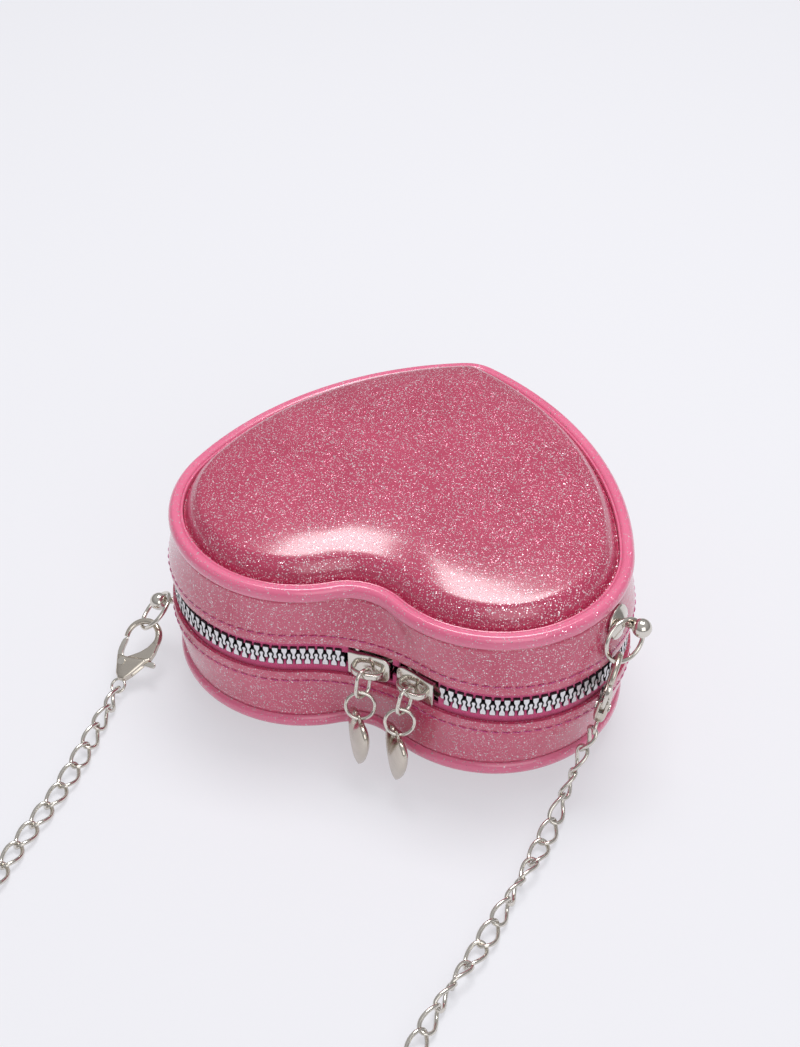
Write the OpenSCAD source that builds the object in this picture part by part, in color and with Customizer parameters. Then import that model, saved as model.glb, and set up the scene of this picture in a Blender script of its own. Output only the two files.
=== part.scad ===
// Heart shaped zip purse in glitter vinyl, lying on its lower dome, with its chain strap.
// The origin lies on the floor under the line through the two lobe centres.
// +X runs across the lobes, +Y from the cleft to the tip and +Z up, in millimetres.

/* [Heart outline] */
// Radius of each lobe at the rim
lobe_r = 40; // [36:0.5:44]
// Distance of each lobe's centre from the middle
lobe_x = 30; // [27:0.5:32]
// Radius of the hollow curve in the cleft
cleft_r = 15; // [13:0.5:17]
// Distance of each lobe's centre from the middle at the zip, towards which the walls lean out
zip_lobe_x = 32.6; // [31:0.2:34]
// Radius of the hollow curve at the zip, whose tape holds the cleft open
zip_cleft_r = 50; // [44:1:56]
// Radius of the long side curves
side_r = 105; // [98:1:125]
// Radius of the tip
tip_r = 13.5; // [12.5:0.5:16]
// Distance of the tip curve's centre from the lobe centres
tip_y = 70; // [66:0.5:74]

/* [Body] */
// Rise of each domed panel above its rim
dome_rise = 8.5; // [7:0.5:11]
// Height of the rounded rim
rim_h = 4.8; // [4.4:0.2:6]
// Width of the rounded rim
rim_w = 4.5; // [4.2:0.1:5.2]
// Height of each side wall between rim and zip
wall_h = 17.4; // [16:0.2:20]
// Gap between the two side walls that the zip fills
zip_gap = 11.8; // [11:0.2:13]
// Distance of the walls behind the edge of the rim
wall_inset = 1.2; // [1:0.1:1.8]
// Thickness of the side walls
wall_t = 1.5; // [1.2:0.1:1.7]
// Thickness of the domed panels
panel_t = 1.6; // [1.2:0.1:1.9]
// Half length of the hinge strip sewn across the zip gap at the tip
hinge_half = 22; // [18:1:30]

/* [Zip] */
// Thickness of the zip tape
tape_t = 0.8; // [0.6:0.1:0.9]
// Width of each half of the zip tape
tape_w = 8; // [7.4:0.1:8]
// Distance between teeth along one row
tooth_pitch = 2.65; // [2.6:0.05:3]
// Width across the closed teeth
chain_w = 6.8; // [6.4:0.1:7.2]
// Thickness of the teeth
tooth_t = 2.4; // [2.2:0.1:2.5]
// Length of each slider
slider_len = 13; // [12:0.5:14]
// Height of each slider across the zip
slider_w = 9.2; // [8.8:0.1:9.6]
// Distance between the noses of the two sliders
nose_gap = 3; // [2:0.5:5]
// How far the meeting point of the sliders lies right of the cleft, along the zip
meet_s = 10; // [9:0.2:12]

/* [Pulls] */
// Thickness of the wire of the pull link
link_wire = 1.2; // [1:0.1:1.3]
// Outer diameter of the jump ring in each pull
ring_od = 9.6; // [9:0.2:11]
// Thickness of the wire of the jump ring
ring_wire = 1.1; // [0.9:0.1:1.2]
// Height of each heart charm
charm_h = 19.5; // [17:0.5:21]
// Width of each heart charm
charm_w = 14.5; // [13:0.5:16]
// Thickness of each puffed charm
charm_t = 5; // [4:0.25:5.5]

/* [Strap hardware] */
// Diameter of the ball on each stud
ball_d = 5.7; // [5:0.1:6.2]
// Diameter of the cone base of each stud
cone_d = 10.5; // [9:0.5:11]
// Outer diameter of each strap ring
o_ring_od = 14.6; // [14:0.2:15.2]
// Thickness of the wire of each strap ring
o_ring_wire = 1.4; // [1.2:0.1:1.5]
// Height of the right stud above the middle of the purse, and of the left stud below it
stud_rise = 17.4; // [16.6:0.1:17.6]
// Outer width of each clasp's hook
hook_od = 12.6; // [12:0.2:13.2]
// Thickness of the hook's wire
hook_wire = 1.8; // [1.6:0.1:1.9]
// Distance from the middle of the hook to the middle of the clasp's eye
clasp_reach = 17; // [16.5:0.25:18]
// Thickness of the clasp's body
clasp_t = 3.4; // [3:0.1:3.6]
// Width of the strap chain across its links
chain_d = 6; // [5.5:0.1:6]
// Outer radius of the coil that the spare chain lies in
coil_r = 40; // [39:0.5:42]

/* [Hidden] */
$fn = 48;

// Heights of the stacked pieces
mid_z = dome_rise + rim_h + wall_h + zip_gap / 2;
total_h = 2 * mid_z;
rim_z = dome_rise;
fit = 0.1;
overrun = 1;

// A heart is four arcs a side: cleft, lobe, side and tip, each with the same centre at any offset.
// Its form holds the lobe's centre, the cleft's centre and radius, the side's centre and the angles
// at which the arcs meet.
function heart_form(x, c) = let (
    gap = norm([x, tip_y]),
    near = side_r - lobe_r,
    far = side_r - tip_r,
    foot = (near * near - far * far + gap * gap) / (2 * gap),
    off = sqrt(near * near - foot * foot),
    along = [-x, tip_y] / gap,
    side = [x, 0] + foot * along + off * [-along.y, along.x],
    cleft = [0, -sqrt((lobe_r + c) * (lobe_r + c) - x * x)])
    [[x, 0], cleft, c, side, atan2(-cleft.y, x), atan2(-side.y, x - side.x), atan2(tip_y - side.y, -side.x)];
rim_form = heart_form(lobe_x, cleft_r);
zip_form = heart_form(zip_lobe_x, zip_cleft_r);

function spot(c, r, a) = [c.x + r * cos(a), c.y + r * sin(a)];
function flip(p) = [-p.x, p.y];
cleft_steps = 5;
lobe_steps = 20;
side_steps = 7;
tip_steps = 7;
function half_outline(d, f) = let (start = f[4] - 180) concat(
    [for (i = [0:cleft_steps]) spot(f[1], f[2] + d, 90 - i * (90 - f[4]) / cleft_steps)],
    [for (i = [1:lobe_steps]) spot(f[0], lobe_r - d, start + i * (f[5] - start) / lobe_steps)],
    [for (i = [1:side_steps]) spot(f[3], side_r - d, f[5] + i * (f[6] - f[5]) / side_steps)],
    [for (i = [1:tip_steps]) spot([0, tip_y], tip_r - d, f[6] + i * (90 - f[6]) / tip_steps)]);
function outline(d, f = rim_form) = let (h = half_outline(d, f))
    concat(h, [for (i = [len(h) - 2:-1:1]) flip(h[i])]);
count = len(outline(0));

// Place and outward direction at a length s along the zip line, right of the cleft where s is positive
line_d = wall_inset + wall_t + fit + tape_t / 2;
line_lobe = zip_form[4] - 180;
cleft_len = (zip_cleft_r + line_d) * (90 - zip_form[4]) * PI / 180;
lobe_len = (lobe_r - line_d) * (zip_form[5] - line_lobe) * PI / 180;
side_len = (side_r - line_d) * (zip_form[6] - zip_form[5]) * PI / 180;
tip_len = (tip_r - line_d) * (90 - zip_form[6]) * PI / 180;
half_len = cleft_len + lobe_len + side_len + tip_len;
function turn(len, r) = len / r * 180 / PI;
function line_arc(s) =
    s < cleft_len ? [zip_form[1], zip_cleft_r + line_d, 90 - turn(s, zip_cleft_r + line_d), -1]
    : s < cleft_len + lobe_len
        ? [zip_form[0], lobe_r - line_d, line_lobe + turn(s - cleft_len, lobe_r - line_d), 1]
    : s < cleft_len + lobe_len + side_len
        ? [zip_form[3], side_r - line_d, zip_form[5] + turn(s - cleft_len - lobe_len, side_r - line_d), 1]
    : [[0, tip_y], tip_r - line_d, zip_form[6] + turn(s - half_len + tip_len, tip_r - line_d), 1];
function line_spot(s) = let (a = line_arc(abs(s)), p = spot(a[0], a[1], a[2])) s < 0 ? flip(p) : p;
function line_out(s) = let (a = line_arc(abs(s)), v = a[3] * [cos(a[2]), sin(a[2])]) s < 0 ? flip(v) : v;

// Puts its children at length s: x along the zip, y outward from the purse and z up
module at_line(s) {
    v = line_out(s);
    p = line_spot(s);
    translate([p.x, p.y, mid_z]) rotate([0, 0, atan2(v.y, v.x) - 90]) children();
}

// Swept and skinned solids
function ring_faces(n, rows) = [for (k = [0:rows - 2], i = [0:n - 1])
    let (j = (i + 1) % n, a = k * n + i, b = k * n + j, c = a + n, d = b + n) each [[a, c, b], [b, c, d]]];
function cap(n, first, centre, up) = [for (i = [0:n - 1])
    let (a = first + i, b = first + (i + 1) % n) up ? [a, b, centre] : [b, a, centre]];

// Domed panels: a flange inside the rim, a groove, a soft shoulder and a crown
panel_d = rim_w + fit;
crown = [0, tip_y * 0.3];
flange_h = 3.6;
shoulder_d = 9.6;
// Offsets and heights of the outer face, as shares of the shoulder's width and of the dome's rise
outer_shares = [[0, -0.42], [0, -0.24], [0.13, -0.2], [0.29, 0.06], [0.45, 0.25], [0.7, 0.42], [1, 0.56]];
inner_shares = [[0.34, -0.42], [0.62, 0], [0.86, 0.22], [1.12, 0.36]];
// Crown rings: share of the shoulder outline and share of the rise
outer_crown_shares = [[0.92, 0.69], [0.82, 0.81], [0.7, 0.895], [0.52, 0.955], [0.3, 0.99]];
inner_crown_shares = [[0.84, 0.58], [0.62, 0.72], [0.36, 0.79]];
function shrunk(loop, k) = [for (p = loop) crown + k * (p - crown)];
function level(loop, z) = [for (p = loop) [p.x, p.y, z]];
function panel_rows() = concat(
    [for (i = [len(outer_crown_shares) - 1:-1:0]) let (c = outer_crown_shares[i])
        level(shrunk(outline(shoulder_d), c[0]), c[1] * dome_rise)],
    [for (i = [len(outer_shares) - 1:-1:0]) let (c = outer_shares[i])
        level(outline(panel_d + c[0] * (shoulder_d - panel_d)), c[1] * dome_rise)],
    [for (c = inner_shares) level(outline(panel_d + c[0] * (shoulder_d - panel_d)), c[1] * dome_rise)],
    [for (c = inner_crown_shares) level(shrunk(outline(shoulder_d), c[0]), c[1] * dome_rise)]);
module panel() {
    rows = panel_rows();
    n = count;
    m = len(rows);
    points = concat([for (r = rows) each r], [[crown.x, crown.y, dome_rise],
        [crown.x, crown.y, dome_rise - panel_t]]);
    faces = concat(ring_faces(n, m), cap(n, 0, m * n, true), cap(n, (m - 1) * n, m * n + 1, false));
    polyhedron(points = points, faces = faces);
}
module front_panel() color([0.78, 0.27, 0.42]) translate([0, 0, total_h - dome_rise]) panel();
// The lower dome is worn flat where the purse rests on it
rest_cut = 0.5;
module back_panel() color([0.78, 0.27, 0.42]) difference() {
    translate([0, 0, dome_rise - rest_cut]) mirror([0, 0, 1]) panel();
    translate([-2 * lobe_r, -2 * lobe_r, -overrun]) cube([4 * lobe_r, 4 * lobe_r, overrun]);
}

// Rounded rim that welds each panel to its wall: offset and height shares of its section
rim_shares = [[0.3, 0], [0.06, 0.2], [0, 0.5], [0.08, 0.8], [0.32, 1], [0.66, 1], [0.94, 0.82], [1, 0.4], [1, 0]];
module hoop(rows) {
    n = count;
    m = len(rows);
    faces = concat(ring_faces(n, m), [for (i = [0:n - 1]) let (j = (i + 1) % n, a = (m - 1) * n)
        each [[a + i, i, a + j], [a + j, i, j]]]);
    polyhedron(points = [for (r = rows) each r], faces = [for (f = faces) [f[2], f[1], f[0]]]);
}
module rim() hoop([for (c = rim_shares) level(outline(c[0] * rim_w), c[1] * rim_h)]);
module front_rim() color([0.88, 0.42, 0.58]) translate([0, 0, total_h - rim_z - rim_h]) rim();
module back_rim() color([0.88, 0.42, 0.58]) translate([0, 0, rim_z + rim_h]) mirror([0, 0, 1]) rim();

// Side walls, each drilled where its stud goes through: upright in the hem at the zip, then leaning
// in to the rim's narrower heart with its deeper cleft
hem_h = 4.2;
module band(d, t, h) linear_extrude(h) difference() {
    polygon(outline(d, zip_form));
    polygon(outline(d + t, zip_form));
}
module side_wall() {
    function edge(d) = [level(outline(d, zip_form), 0), level(outline(d, zip_form), hem_h),
        level(outline(d), wall_h)];
    inner = edge(wall_inset + wall_t);
    hoop(concat(edge(wall_inset), [inner[2], inner[1], inner[0]]));
}
stud_hole_d = 1.8;
sides = [-1, 1];
stud_angles = [-11.5, -14.5];
function unit(v) = v / norm(v);
function square_to(v, axis) = unit(v - (v * axis) * axis);
module posed(p, x, y) {
    z = cross(x, y);
    multmatrix([[x.x, y.x, z.x, p.x], [x.y, y.y, z.y, p.y], [x.z, y.z, z.z, p.z], [0, 0, 0, 1]]) children();
}
// Each stud stands square to its leaning wall, at a share of the way from hem to rim
wall_lean = (zip_lobe_x - lobe_x) / (wall_h - hem_h);
stud_share = (stud_rise - zip_gap / 2 - hem_h) / (wall_h - hem_h);
function stud_side(i) = [sides[i] * cos(stud_angles[i]), sin(stud_angles[i]), 0];
function stud_out(i) = unit(stud_side(i) + [0, 0, sides[i] * cos(stud_angles[i]) * wall_lean]);
function stud_up(i) = square_to([0, 0, 1], stud_out(i));
function stud_foot(i) = [sides[i] * (zip_lobe_x - stud_share * (zip_lobe_x - lobe_x)), 0,
    mid_z + sides[i] * stud_rise] + (lobe_r - wall_inset) * stud_side(i);
module at_stud(i) posed(stud_foot(i), stud_up(i), cross(stud_out(i), stud_up(i))) children();
module stud_hole() translate([0, 0, -wall_t - overrun]) cylinder(d = stud_hole_d, h = wall_t + 2 * overrun);
module upper_wall() color([0.8, 0.35, 0.5]) difference() {
    translate([0, 0, mid_z + zip_gap / 2]) side_wall();
    at_stud(1) stud_hole();
}
module lower_wall() color([0.8, 0.35, 0.5]) difference() {
    translate([0, 0, mid_z - zip_gap / 2]) mirror([0, 0, 1]) side_wall();
    at_stud(0) stud_hole();
}

// Top stitching near the zip edge of each wall
stitch_len = 2;
stitch_pitch = 3;
stitch_t = 0.35;
stitch_w = 0.5;
stitch_rise = 3.4;
function wall_len() = half_len - hinge_half / 6;
module stitch_row(z) {
    n = floor(wall_len() / stitch_pitch);
    for (i = [-n:n]) at_line(i * stitch_pitch)
        translate([-stitch_len / 2, line_d - wall_inset + fit / 2, z - stitch_w / 2])
            cube([stitch_len, stitch_t, stitch_w]);
}
module upper_stitching() color([0.8, 0.15, 0.55]) stitch_row(zip_gap / 2 + stitch_rise);
module lower_stitching() color([0.8, 0.15, 0.55]) stitch_row(-zip_gap / 2 - stitch_rise);

// Zip tapes: woven bands inside the walls, whose inner edges run into the teeth
tape_edge = 2;
zip_end = half_len - hinge_half;
module tape(up) difference() {
    translate([0, 0, up > 0 ? mid_z + tape_edge : mid_z - tape_edge - tape_w])
        band(line_d - tape_t / 2, tape_t, tape_w);
    translate([-lobe_r, line_spot(zip_end).y, 0]) cube([2 * lobe_r, lobe_r * 2, total_h]);
    for (s = slider_s) at_line(s) translate([-slider_len / 2 - slider_ease, -slider_len / 2, -slider_w / 2 - slider_ease])
        cube([slider_len + 2 * slider_ease, slider_len, slider_w + 2 * slider_ease]);
}
module upper_tape() color([0.72, 0.08, 0.4]) tape(1);
module lower_tape() color([0.72, 0.08, 0.4]) tape(-1);

// One tooth: a pawn shape whose head reaches past the middle, slit at the back for the tape
head_w = 1.24;
neck_w = 0.84;
foot_w = 1.9;
head_reach = 1.3;
slit_ease = 0.3;
module tooth() difference() {
    rotate([90, 0, 0]) translate([0, 0, -tooth_t / 2]) linear_extrude(tooth_t) polygon([
        [-head_w / 2, -head_reach], [head_w / 2, -head_reach], [head_w / 2, -fit],
        [neck_w / 2, fit * 2], [neck_w / 2, head_reach], [foot_w / 2, head_reach + 4 * fit],
        [foot_w / 2, chain_w / 2], [-foot_w / 2, chain_w / 2], [-foot_w / 2, head_reach + 4 * fit],
        [-neck_w / 2, head_reach], [-neck_w / 2, fit * 2], [-head_w / 2, -fit]]);
    translate([-foot_w, -tape_t / 2 - slit_ease, tape_edge - fit])
        cube([2 * foot_w, tape_t + 2 * slit_ease, chain_w]);
}
// The stretch between and inside the sliders shows no teeth, nor do the two end stops
slider_ease = 0.4;
stop_len = 3;
open_from = meet_s - nose_gap / 2 - slider_len - foot_w / 2 - 2 * slider_ease;
open_to = meet_s + nose_gap / 2 + slider_len + foot_w / 2 + 2 * slider_ease;
teeth_end = zip_end - stop_len - foot_w / 2;
module tooth_row(shift) {
    n = ceil(zip_end / tooth_pitch);
    for (i = [-n:n]) let (s = (i + shift) * tooth_pitch)
        if (abs(s) < teeth_end && (s < open_from || s > open_to)) at_line(s) children();
}
module upper_teeth() color([0.85, 0.86, 0.88]) tooth_row(0) tooth();
module lower_teeth() color([0.85, 0.86, 0.88]) tooth_row(0.5) mirror([0, 0, 1]) tooth();

// Moulded stop over both rows at each end of the zip
stop_t = 3;
module zip_end_stops() color([0.8, 0.81, 0.83]) for (side = [-1, 1])
    at_line(side * (zip_end - stop_len / 4)) difference() {
        translate([-stop_len / 2, -stop_t / 2, -chain_w / 2]) cube([stop_len, stop_t, chain_w / 2 - tape_edge / 8]);
        translate([-stop_len, -tape_t / 2 - slit_ease, -chain_w])
            cube([2 * stop_len, tape_t + 2 * slit_ease, chain_w - tape_edge + fit]);
    }

// Hinge strip sewn inside both walls at the tip, in the line of the tape
strip_lap = 4;
module hinge_strip() color([0.75, 0.2, 0.45]) intersection() {
    translate([0, 0, mid_z - zip_gap / 2 - strip_lap])
        band(line_d - tape_t / 2, tape_t, zip_gap + 2 * strip_lap);
    translate([-lobe_r, line_spot(zip_end).y + stop_len, 0]) cube([2 * lobe_r, lobe_r * 2, total_h]);
}

// Slider: two plates joined by a wedge at the nose, with flanges and an arched bridge
plate_t = 1;
channel = 3.2;
tail_w = 8.2;
slot = 1.7;
bridge_t = 1.3;
bridge_w = 1.8;
bridge_len = 9.4;
bridge_rise = 3.4;
nose_round = 2.6;
wedge_len = 4;
wedge_w = 2.6;
flange_t = 0.6;
module plate_outline() polygon([[-slider_len / 2, -tail_w / 2], [-slider_len / 4, -tail_w / 2],
    [0, -slider_w / 2], [slider_len / 2 - nose_round, -slider_w / 2],
    [slider_len / 2, -slider_w / 2 + nose_round], [slider_len / 2, slider_w / 2 - nose_round],
    [slider_len / 2 - nose_round, slider_w / 2], [0, slider_w / 2],
    [-slider_len / 4, tail_w / 2], [-slider_len / 2, tail_w / 2]]);
module standing(y, t) translate([0, y + t, 0]) rotate([90, 0, 0]) linear_extrude(t) children();
module slider() {
    standing(channel / 2, plate_t) plate_outline();
    standing(-channel / 2 - plate_t, plate_t) plate_outline();
    standing(-channel / 2 - plate_t / 2, channel + plate_t) translate([slider_len / 2 - wedge_len, 0])
        polygon([[0, 0], [wedge_len * 0.6, wedge_w / 2], [wedge_len, wedge_w / 2],
            [wedge_len, -wedge_w / 2], [wedge_len * 0.6, -wedge_w / 2]]);
    for (side = [-1, 1], face = [-1, 1])
        translate([-slider_len / 2, face > 0 ? slot / 2 : -channel / 2 - plate_t / 2,
            side > 0 ? tail_w / 2 - flange_t : -tail_w / 2])
            cube([slider_len / 2, (channel - slot + plate_t) / 2, flange_t]);
    difference() {
        translate([-bridge_len / 2, channel / 2 + plate_t / 2, -bridge_w / 2])
            cube([bridge_len, bridge_rise + (plate_t + bridge_t) / 2, bridge_w]);
        translate([-bridge_len / 2 + bridge_t, channel / 2 + plate_t, -bridge_w])
            cube([bridge_len - 2 * bridge_t, bridge_rise - bridge_t / 2, 2 * bridge_w]);
    }
}
slider_s = [meet_s - (nose_gap + slider_len) / 2, meet_s + (nose_gap + slider_len) / 2];
module slider_left() color([0.78, 0.77, 0.74]) at_line(slider_s[0]) mirror([1, 0, 0]) slider();
module slider_right() color([0.78, 0.77, 0.74]) at_line(slider_s[1]) slider();

// Pull: an oval link round the bridge, a jump ring in the link and a heart charm in the ring. Each
// has swung a little round the upright, left pull first.
pull_lean = 20;
link_turns = [-25, -7];
ring_turns = [18, 35];
charm_turns = [39, 58];
link_in_w = 4.2;
link_in_h = 7.5;
link_drop = 2.6;
bridge_y = channel / 2 + plate_t + bridge_rise;
module wire_ring(r, wire) rotate_extrude() translate([r, 0]) circle(d = wire, $fn = 24);
module wire_bend(r, wire, a) rotate_extrude(angle = a) translate([r, 0]) circle(d = wire, $fn = 24);
module oval_link(in_w, in_h, wire) {
    r = (in_w + wire) / 2;
    leg = in_h - in_w;
    for (up = [0, 1]) mirror([0, up, 0]) translate([0, leg / 2, 0]) wire_bend(r, wire, 180);
    for (side = [-1, 1]) translate([side * r, leg / 2, 0]) rotate([90, 0, 0]) cylinder(d = wire, h = leg, $fn = 24);
}
link_bottom = -link_drop - link_in_h / 2 - link_wire / 2;
ring_r = (ring_od - ring_wire) / 2;
ring_drop = link_bottom + (link_wire + ring_wire) / 2 + 1.5 * fit - ring_r;
module at_pull(s) at_line(s) translate([0, bridge_y, 0]) rotate([pull_lean, 0, 0]) children();
module pull_link(i) color([0.8, 0.79, 0.76]) at_pull(slider_s[i]) translate([0, 0, -link_drop])
    rotate([0, 0, link_turns[i]]) rotate([90, 0, 90]) oval_link(link_in_w, link_in_h, link_wire);
module pull_ring(i) color([0.8, 0.79, 0.76]) at_pull(slider_s[i]) translate([0, 0, ring_drop])
    rotate([0, 0, ring_turns[i]]) rotate([90, 0, 0]) wire_ring(ring_r, ring_wire);
module pull_link_left() pull_link(0);
module pull_link_right() pull_link(1);
module pull_ring_left() pull_ring(0);
module pull_ring_right() pull_ring(1);

// Puffed heart charm that hangs straight down
eye_r = 1.55;
eye_wire = 0.9;
charm_lobe_share = 0.27;
charm_edge = 1;
charm_lobe = charm_w * charm_lobe_share;
charm_cleft = charm_lobe - sqrt(charm_lobe * charm_lobe - (charm_w / 2 - charm_lobe) * (charm_w / 2 - charm_lobe));
module charm_outline() {
    r = charm_lobe;
    for (side = [-1, 1]) translate([side * (charm_w / 2 - r), -r]) circle(r = r);
    polygon([[0, -charm_h], [-charm_w / 2 + r * 0.14, -r * 1.5], [-charm_w / 2 + r, -r], [0, -r * 0.6],
        [charm_w / 2 - r, -r], [charm_w / 2 - r * 0.14, -r * 1.5]]);
}
module charm(i) color([0.82, 0.8, 0.77]) {
    half_w = norm([charm_w, charm_h]) / 2;
    swell = (charm_t - charm_edge) / 2;
    ball_r = (half_w * half_w + swell * swell) / (2 * swell);
    at_line(slider_s[i])
        translate([0, bridge_y - (ring_drop - ring_r) * sin(pull_lean), (ring_drop - ring_r) * cos(pull_lean)])
        rotate([0, 0, charm_turns[i]]) rotate([90, 0, 90]) {
            eye_z = (ring_wire + eye_wire) / 2 + fit - eye_r;
            translate([0, eye_z, 0]) wire_ring(eye_r, eye_wire);
            translate([0, eye_z - eye_r + charm_cleft + eye_wire / 4, 0]) intersection() {
                translate([0, 0, -charm_t / 2]) linear_extrude(charm_t) charm_outline();
                translate([0, -charm_h / 2, ball_r - charm_t / 2]) sphere(ball_r, $fn = 96);
                translate([0, -charm_h / 2, charm_t / 2 - ball_r]) sphere(ball_r, $fn = 96);
            }
        }
}
module charm_left() charm(0);
module charm_right() charm(1);

// Stud: cone base outside the wall, post with a ball end, nut inside
cone_edge = 0.8;
cone_h = 2.3;
cone_top_d = 3.2;
neck_d = 2;
neck_len = 2.9;
post_d = 1.6;
nut_d = 8;
nut_t = 1.4;
ball_z = cone_h + fit + neck_len + sqrt(ball_d * ball_d - neck_d * neck_d) / 2;
module stud_cone() translate([0, 0, fit]) difference() {
    union() {
        cylinder(d = cone_d, h = cone_edge);
        translate([0, 0, cone_edge]) cylinder(d1 = cone_d, d2 = cone_top_d, h = cone_h - cone_edge);
    }
    translate([0, 0, -overrun]) cylinder(d = post_d + fit, h = cone_h + 2 * overrun);
}
module stud_post() {
    translate([0, 0, -wall_t - nut_t - 3 * fit]) cylinder(d = post_d, h = cone_h + wall_t + nut_t + 4 * fit);
    translate([0, 0, cone_h + fit]) cylinder(d = neck_d, h = ball_z - cone_h);
    translate([0, 0, ball_z]) sphere(d = ball_d);
}
module stud_nut() translate([0, 0, -wall_t - nut_t - 3 * fit]) difference() {
    cylinder(d = nut_d, h = nut_t);
    translate([0, 0, -overrun]) cylinder(d = post_d + fit, h = nut_t + 2 * overrun);
}
module stud_cone_left() color([0.8, 0.79, 0.77]) at_stud(0) stud_cone();
module stud_cone_right() color([0.8, 0.79, 0.77]) at_stud(1) stud_cone();
module stud_post_left() color([0.8, 0.79, 0.77]) at_stud(0) stud_post();
module stud_post_right() color([0.8, 0.79, 0.77]) at_stud(1) stud_post();
module stud_nut_left() color([0.6, 0.6, 0.6]) at_stud(0) stud_nut();
module stud_nut_right() color([0.6, 0.6, 0.6]) at_stud(1) stud_nut();

// Strap rings: each hangs round the neck of its stud, behind the ball, and is drawn aside by its clasp
ring_play = 0.25;
// Directions as shares of one: how each ring hangs, how its clasp pulls and how the clasp lies
hang_shares = [[-0.81, -0.73, -1], [-0.02, -0.42, -1]];
pull_shares = [[-0.13, -0.865, -0.484], [-0.12, -0.588, -0.792]];
clasp_up_shares = [[0.15, 0.862, 0.483], [0.135, 0.458, 0.878]];
clasp_side_shares = [[0.983, -0.183, 0.021], [-0.112, 0.888, -0.446]];
ring_twists = [29, -23];
hook_slacks = [1, 0.6];
o_ring_r = (o_ring_od - o_ring_wire) / 2;
hook_r = (hook_od - hook_wire) / 2;
hang_t = cone_h + fit + neck_len * 0.56;
function ring_top(i) = stud_foot(i) + hang_t * stud_out(i)
    + ((neck_d + o_ring_wire) / 2 + ring_play) * stud_up(i);
function ring_axis(i) = let (down = unit(hang_shares[i]), across = square_to(stud_out(i), down))
    cos(ring_twists[i]) * across - sin(ring_twists[i]) * cross(down, across);
function ring_mid(i) = ring_top(i) + o_ring_r * unit(hang_shares[i]);
function hook_mid(i) = ring_mid(i)
    + (o_ring_r + hook_r - (o_ring_wire + hook_wire) / 2 - hook_slacks[i]) * unit(pull_shares[i]);
function clasp_up(i) = unit(clasp_up_shares[i]);
function clasp_side(i) = square_to(clasp_side_shares[i], clasp_up(i));
function eye_mid(i) = hook_mid(i) - clasp_reach * clasp_up(i);
module o_ring(i) color([0.82, 0.81, 0.79]) posed(ring_mid(i),
    unit(hang_shares[i]), unit(cross(ring_axis(i), unit(hang_shares[i])))) wire_ring(o_ring_r, o_ring_wire);
module o_ring_left() o_ring(0);
module o_ring_right() o_ring(1);

// Lobster clasp, drawn with its hook up, its gate on the left and its thumb tab on the right
clasp_eye_od = 5.3;
clasp_eye_wire = 0.9;
hook_from = 0;
hook_to = 200;
lever_t = 1.2;
lever_slot = 1.5;
rivet_d = 1.4;
rivet_bore = 1.5;
rivet_head_d = 2.4;
rivet_head_t = 0.3;
spring_t = 0.4;
spring_w = 1.1;
// Points as shares of the hook's outer radius across and of the clasp's reach along
body_shares = [[0.714, 0], [1, 0], [1.06, -0.21], [1, -0.35], [0.83, -0.45], [0.6, -0.62], [0.4, -0.76],
    [0.17, -0.88], [-0.11, -0.9], [-0.37, -0.81], [-0.6, -0.62], [-0.78, -0.47], [-0.48, -0.45],
    [-0.24, -0.45], [0.29, -0.28], [0.56, -0.15]];
slot_shares = [[-1.2, -0.1], [-0.45, -0.1], [-0.25, -0.36], [0.3, -0.355], [1.4, -0.34], [1.4, -0.74],
    [-0.08, -0.74], [-0.55, -0.68], [-1.2, -0.53]];
lever_shares = [[-0.9, -0.17], [-0.68, -0.125], [-0.62, -0.36], [-0.4, -0.47], [0.1, -0.47], [0.56, -0.42],
    [1.1, -0.375], [1.34, -0.39], [1.3, -0.47], [0.72, -0.5], [0.1, -0.61], [-0.3, -0.66], [-0.57, -0.6],
    [-0.86, -0.42]];
spring_shares = [[-0.05, -0.74], [0.12, -0.74], [0.42, -0.59], [0.38, -0.565], [0.08, -0.71], [-0.05, -0.71]];
cheek_top_share = -0.2;
rivet_shares = [-0.3, -0.575];
function clasp_points(shares) = [for (p = shares) [p.x * hook_od / 2, p.y * clasp_reach]];
module slab(t) translate([0, 0, -t / 2]) linear_extrude(t) children();
module at_clasp(i) posed(hook_mid(i), clasp_side(i), clasp_up(i)) children();
module at_rivet() translate([rivet_shares.x * hook_od / 2, rivet_shares.y * clasp_reach, 0]) children();
module clasp_body() difference() {
    union() {
        rotate([0, 0, hook_from]) wire_bend(hook_r, hook_wire, hook_to - hook_from);
        slab(hook_wire) polygon(clasp_points(body_shares));
        slab(clasp_t) intersection() {
            polygon(clasp_points(body_shares));
            translate([-hook_od, cheek_top_share * clasp_reach - hook_od * 2]) square(hook_od * 2);
        }
        translate([0, -clasp_reach, 0]) wire_ring((clasp_eye_od - clasp_eye_wire) / 2, clasp_eye_wire);
    }
    slab(lever_slot) polygon(clasp_points(slot_shares));
    at_rivet() slab(clasp_t + overrun) circle(d = rivet_bore);
}
module clasp_lever() difference() {
    slab(lever_t) polygon(clasp_points(lever_shares));
    at_rivet() slab(lever_t + overrun) circle(d = rivet_bore);
}
module clasp_rivet() at_rivet() {
    slab(clasp_t + 2 * rivet_head_t) circle(d = rivet_d);
    for (side = [-1, 1]) translate([0, 0, side * (clasp_t / 2 + rivet_head_t)]) slab(rivet_head_t) circle(d = rivet_head_d);
}
module clasp_spring() slab(spring_w) polygon(clasp_points(spring_shares));
module clasp_body_left() color([0.76, 0.74, 0.7]) at_clasp(0) clasp_body();
module clasp_body_right() color([0.76, 0.74, 0.7]) at_clasp(1) clasp_body();
module clasp_lever_left() color([0.7, 0.68, 0.65]) at_clasp(0) clasp_lever();
module clasp_lever_right() color([0.7, 0.68, 0.65]) at_clasp(1) clasp_lever();
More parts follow.
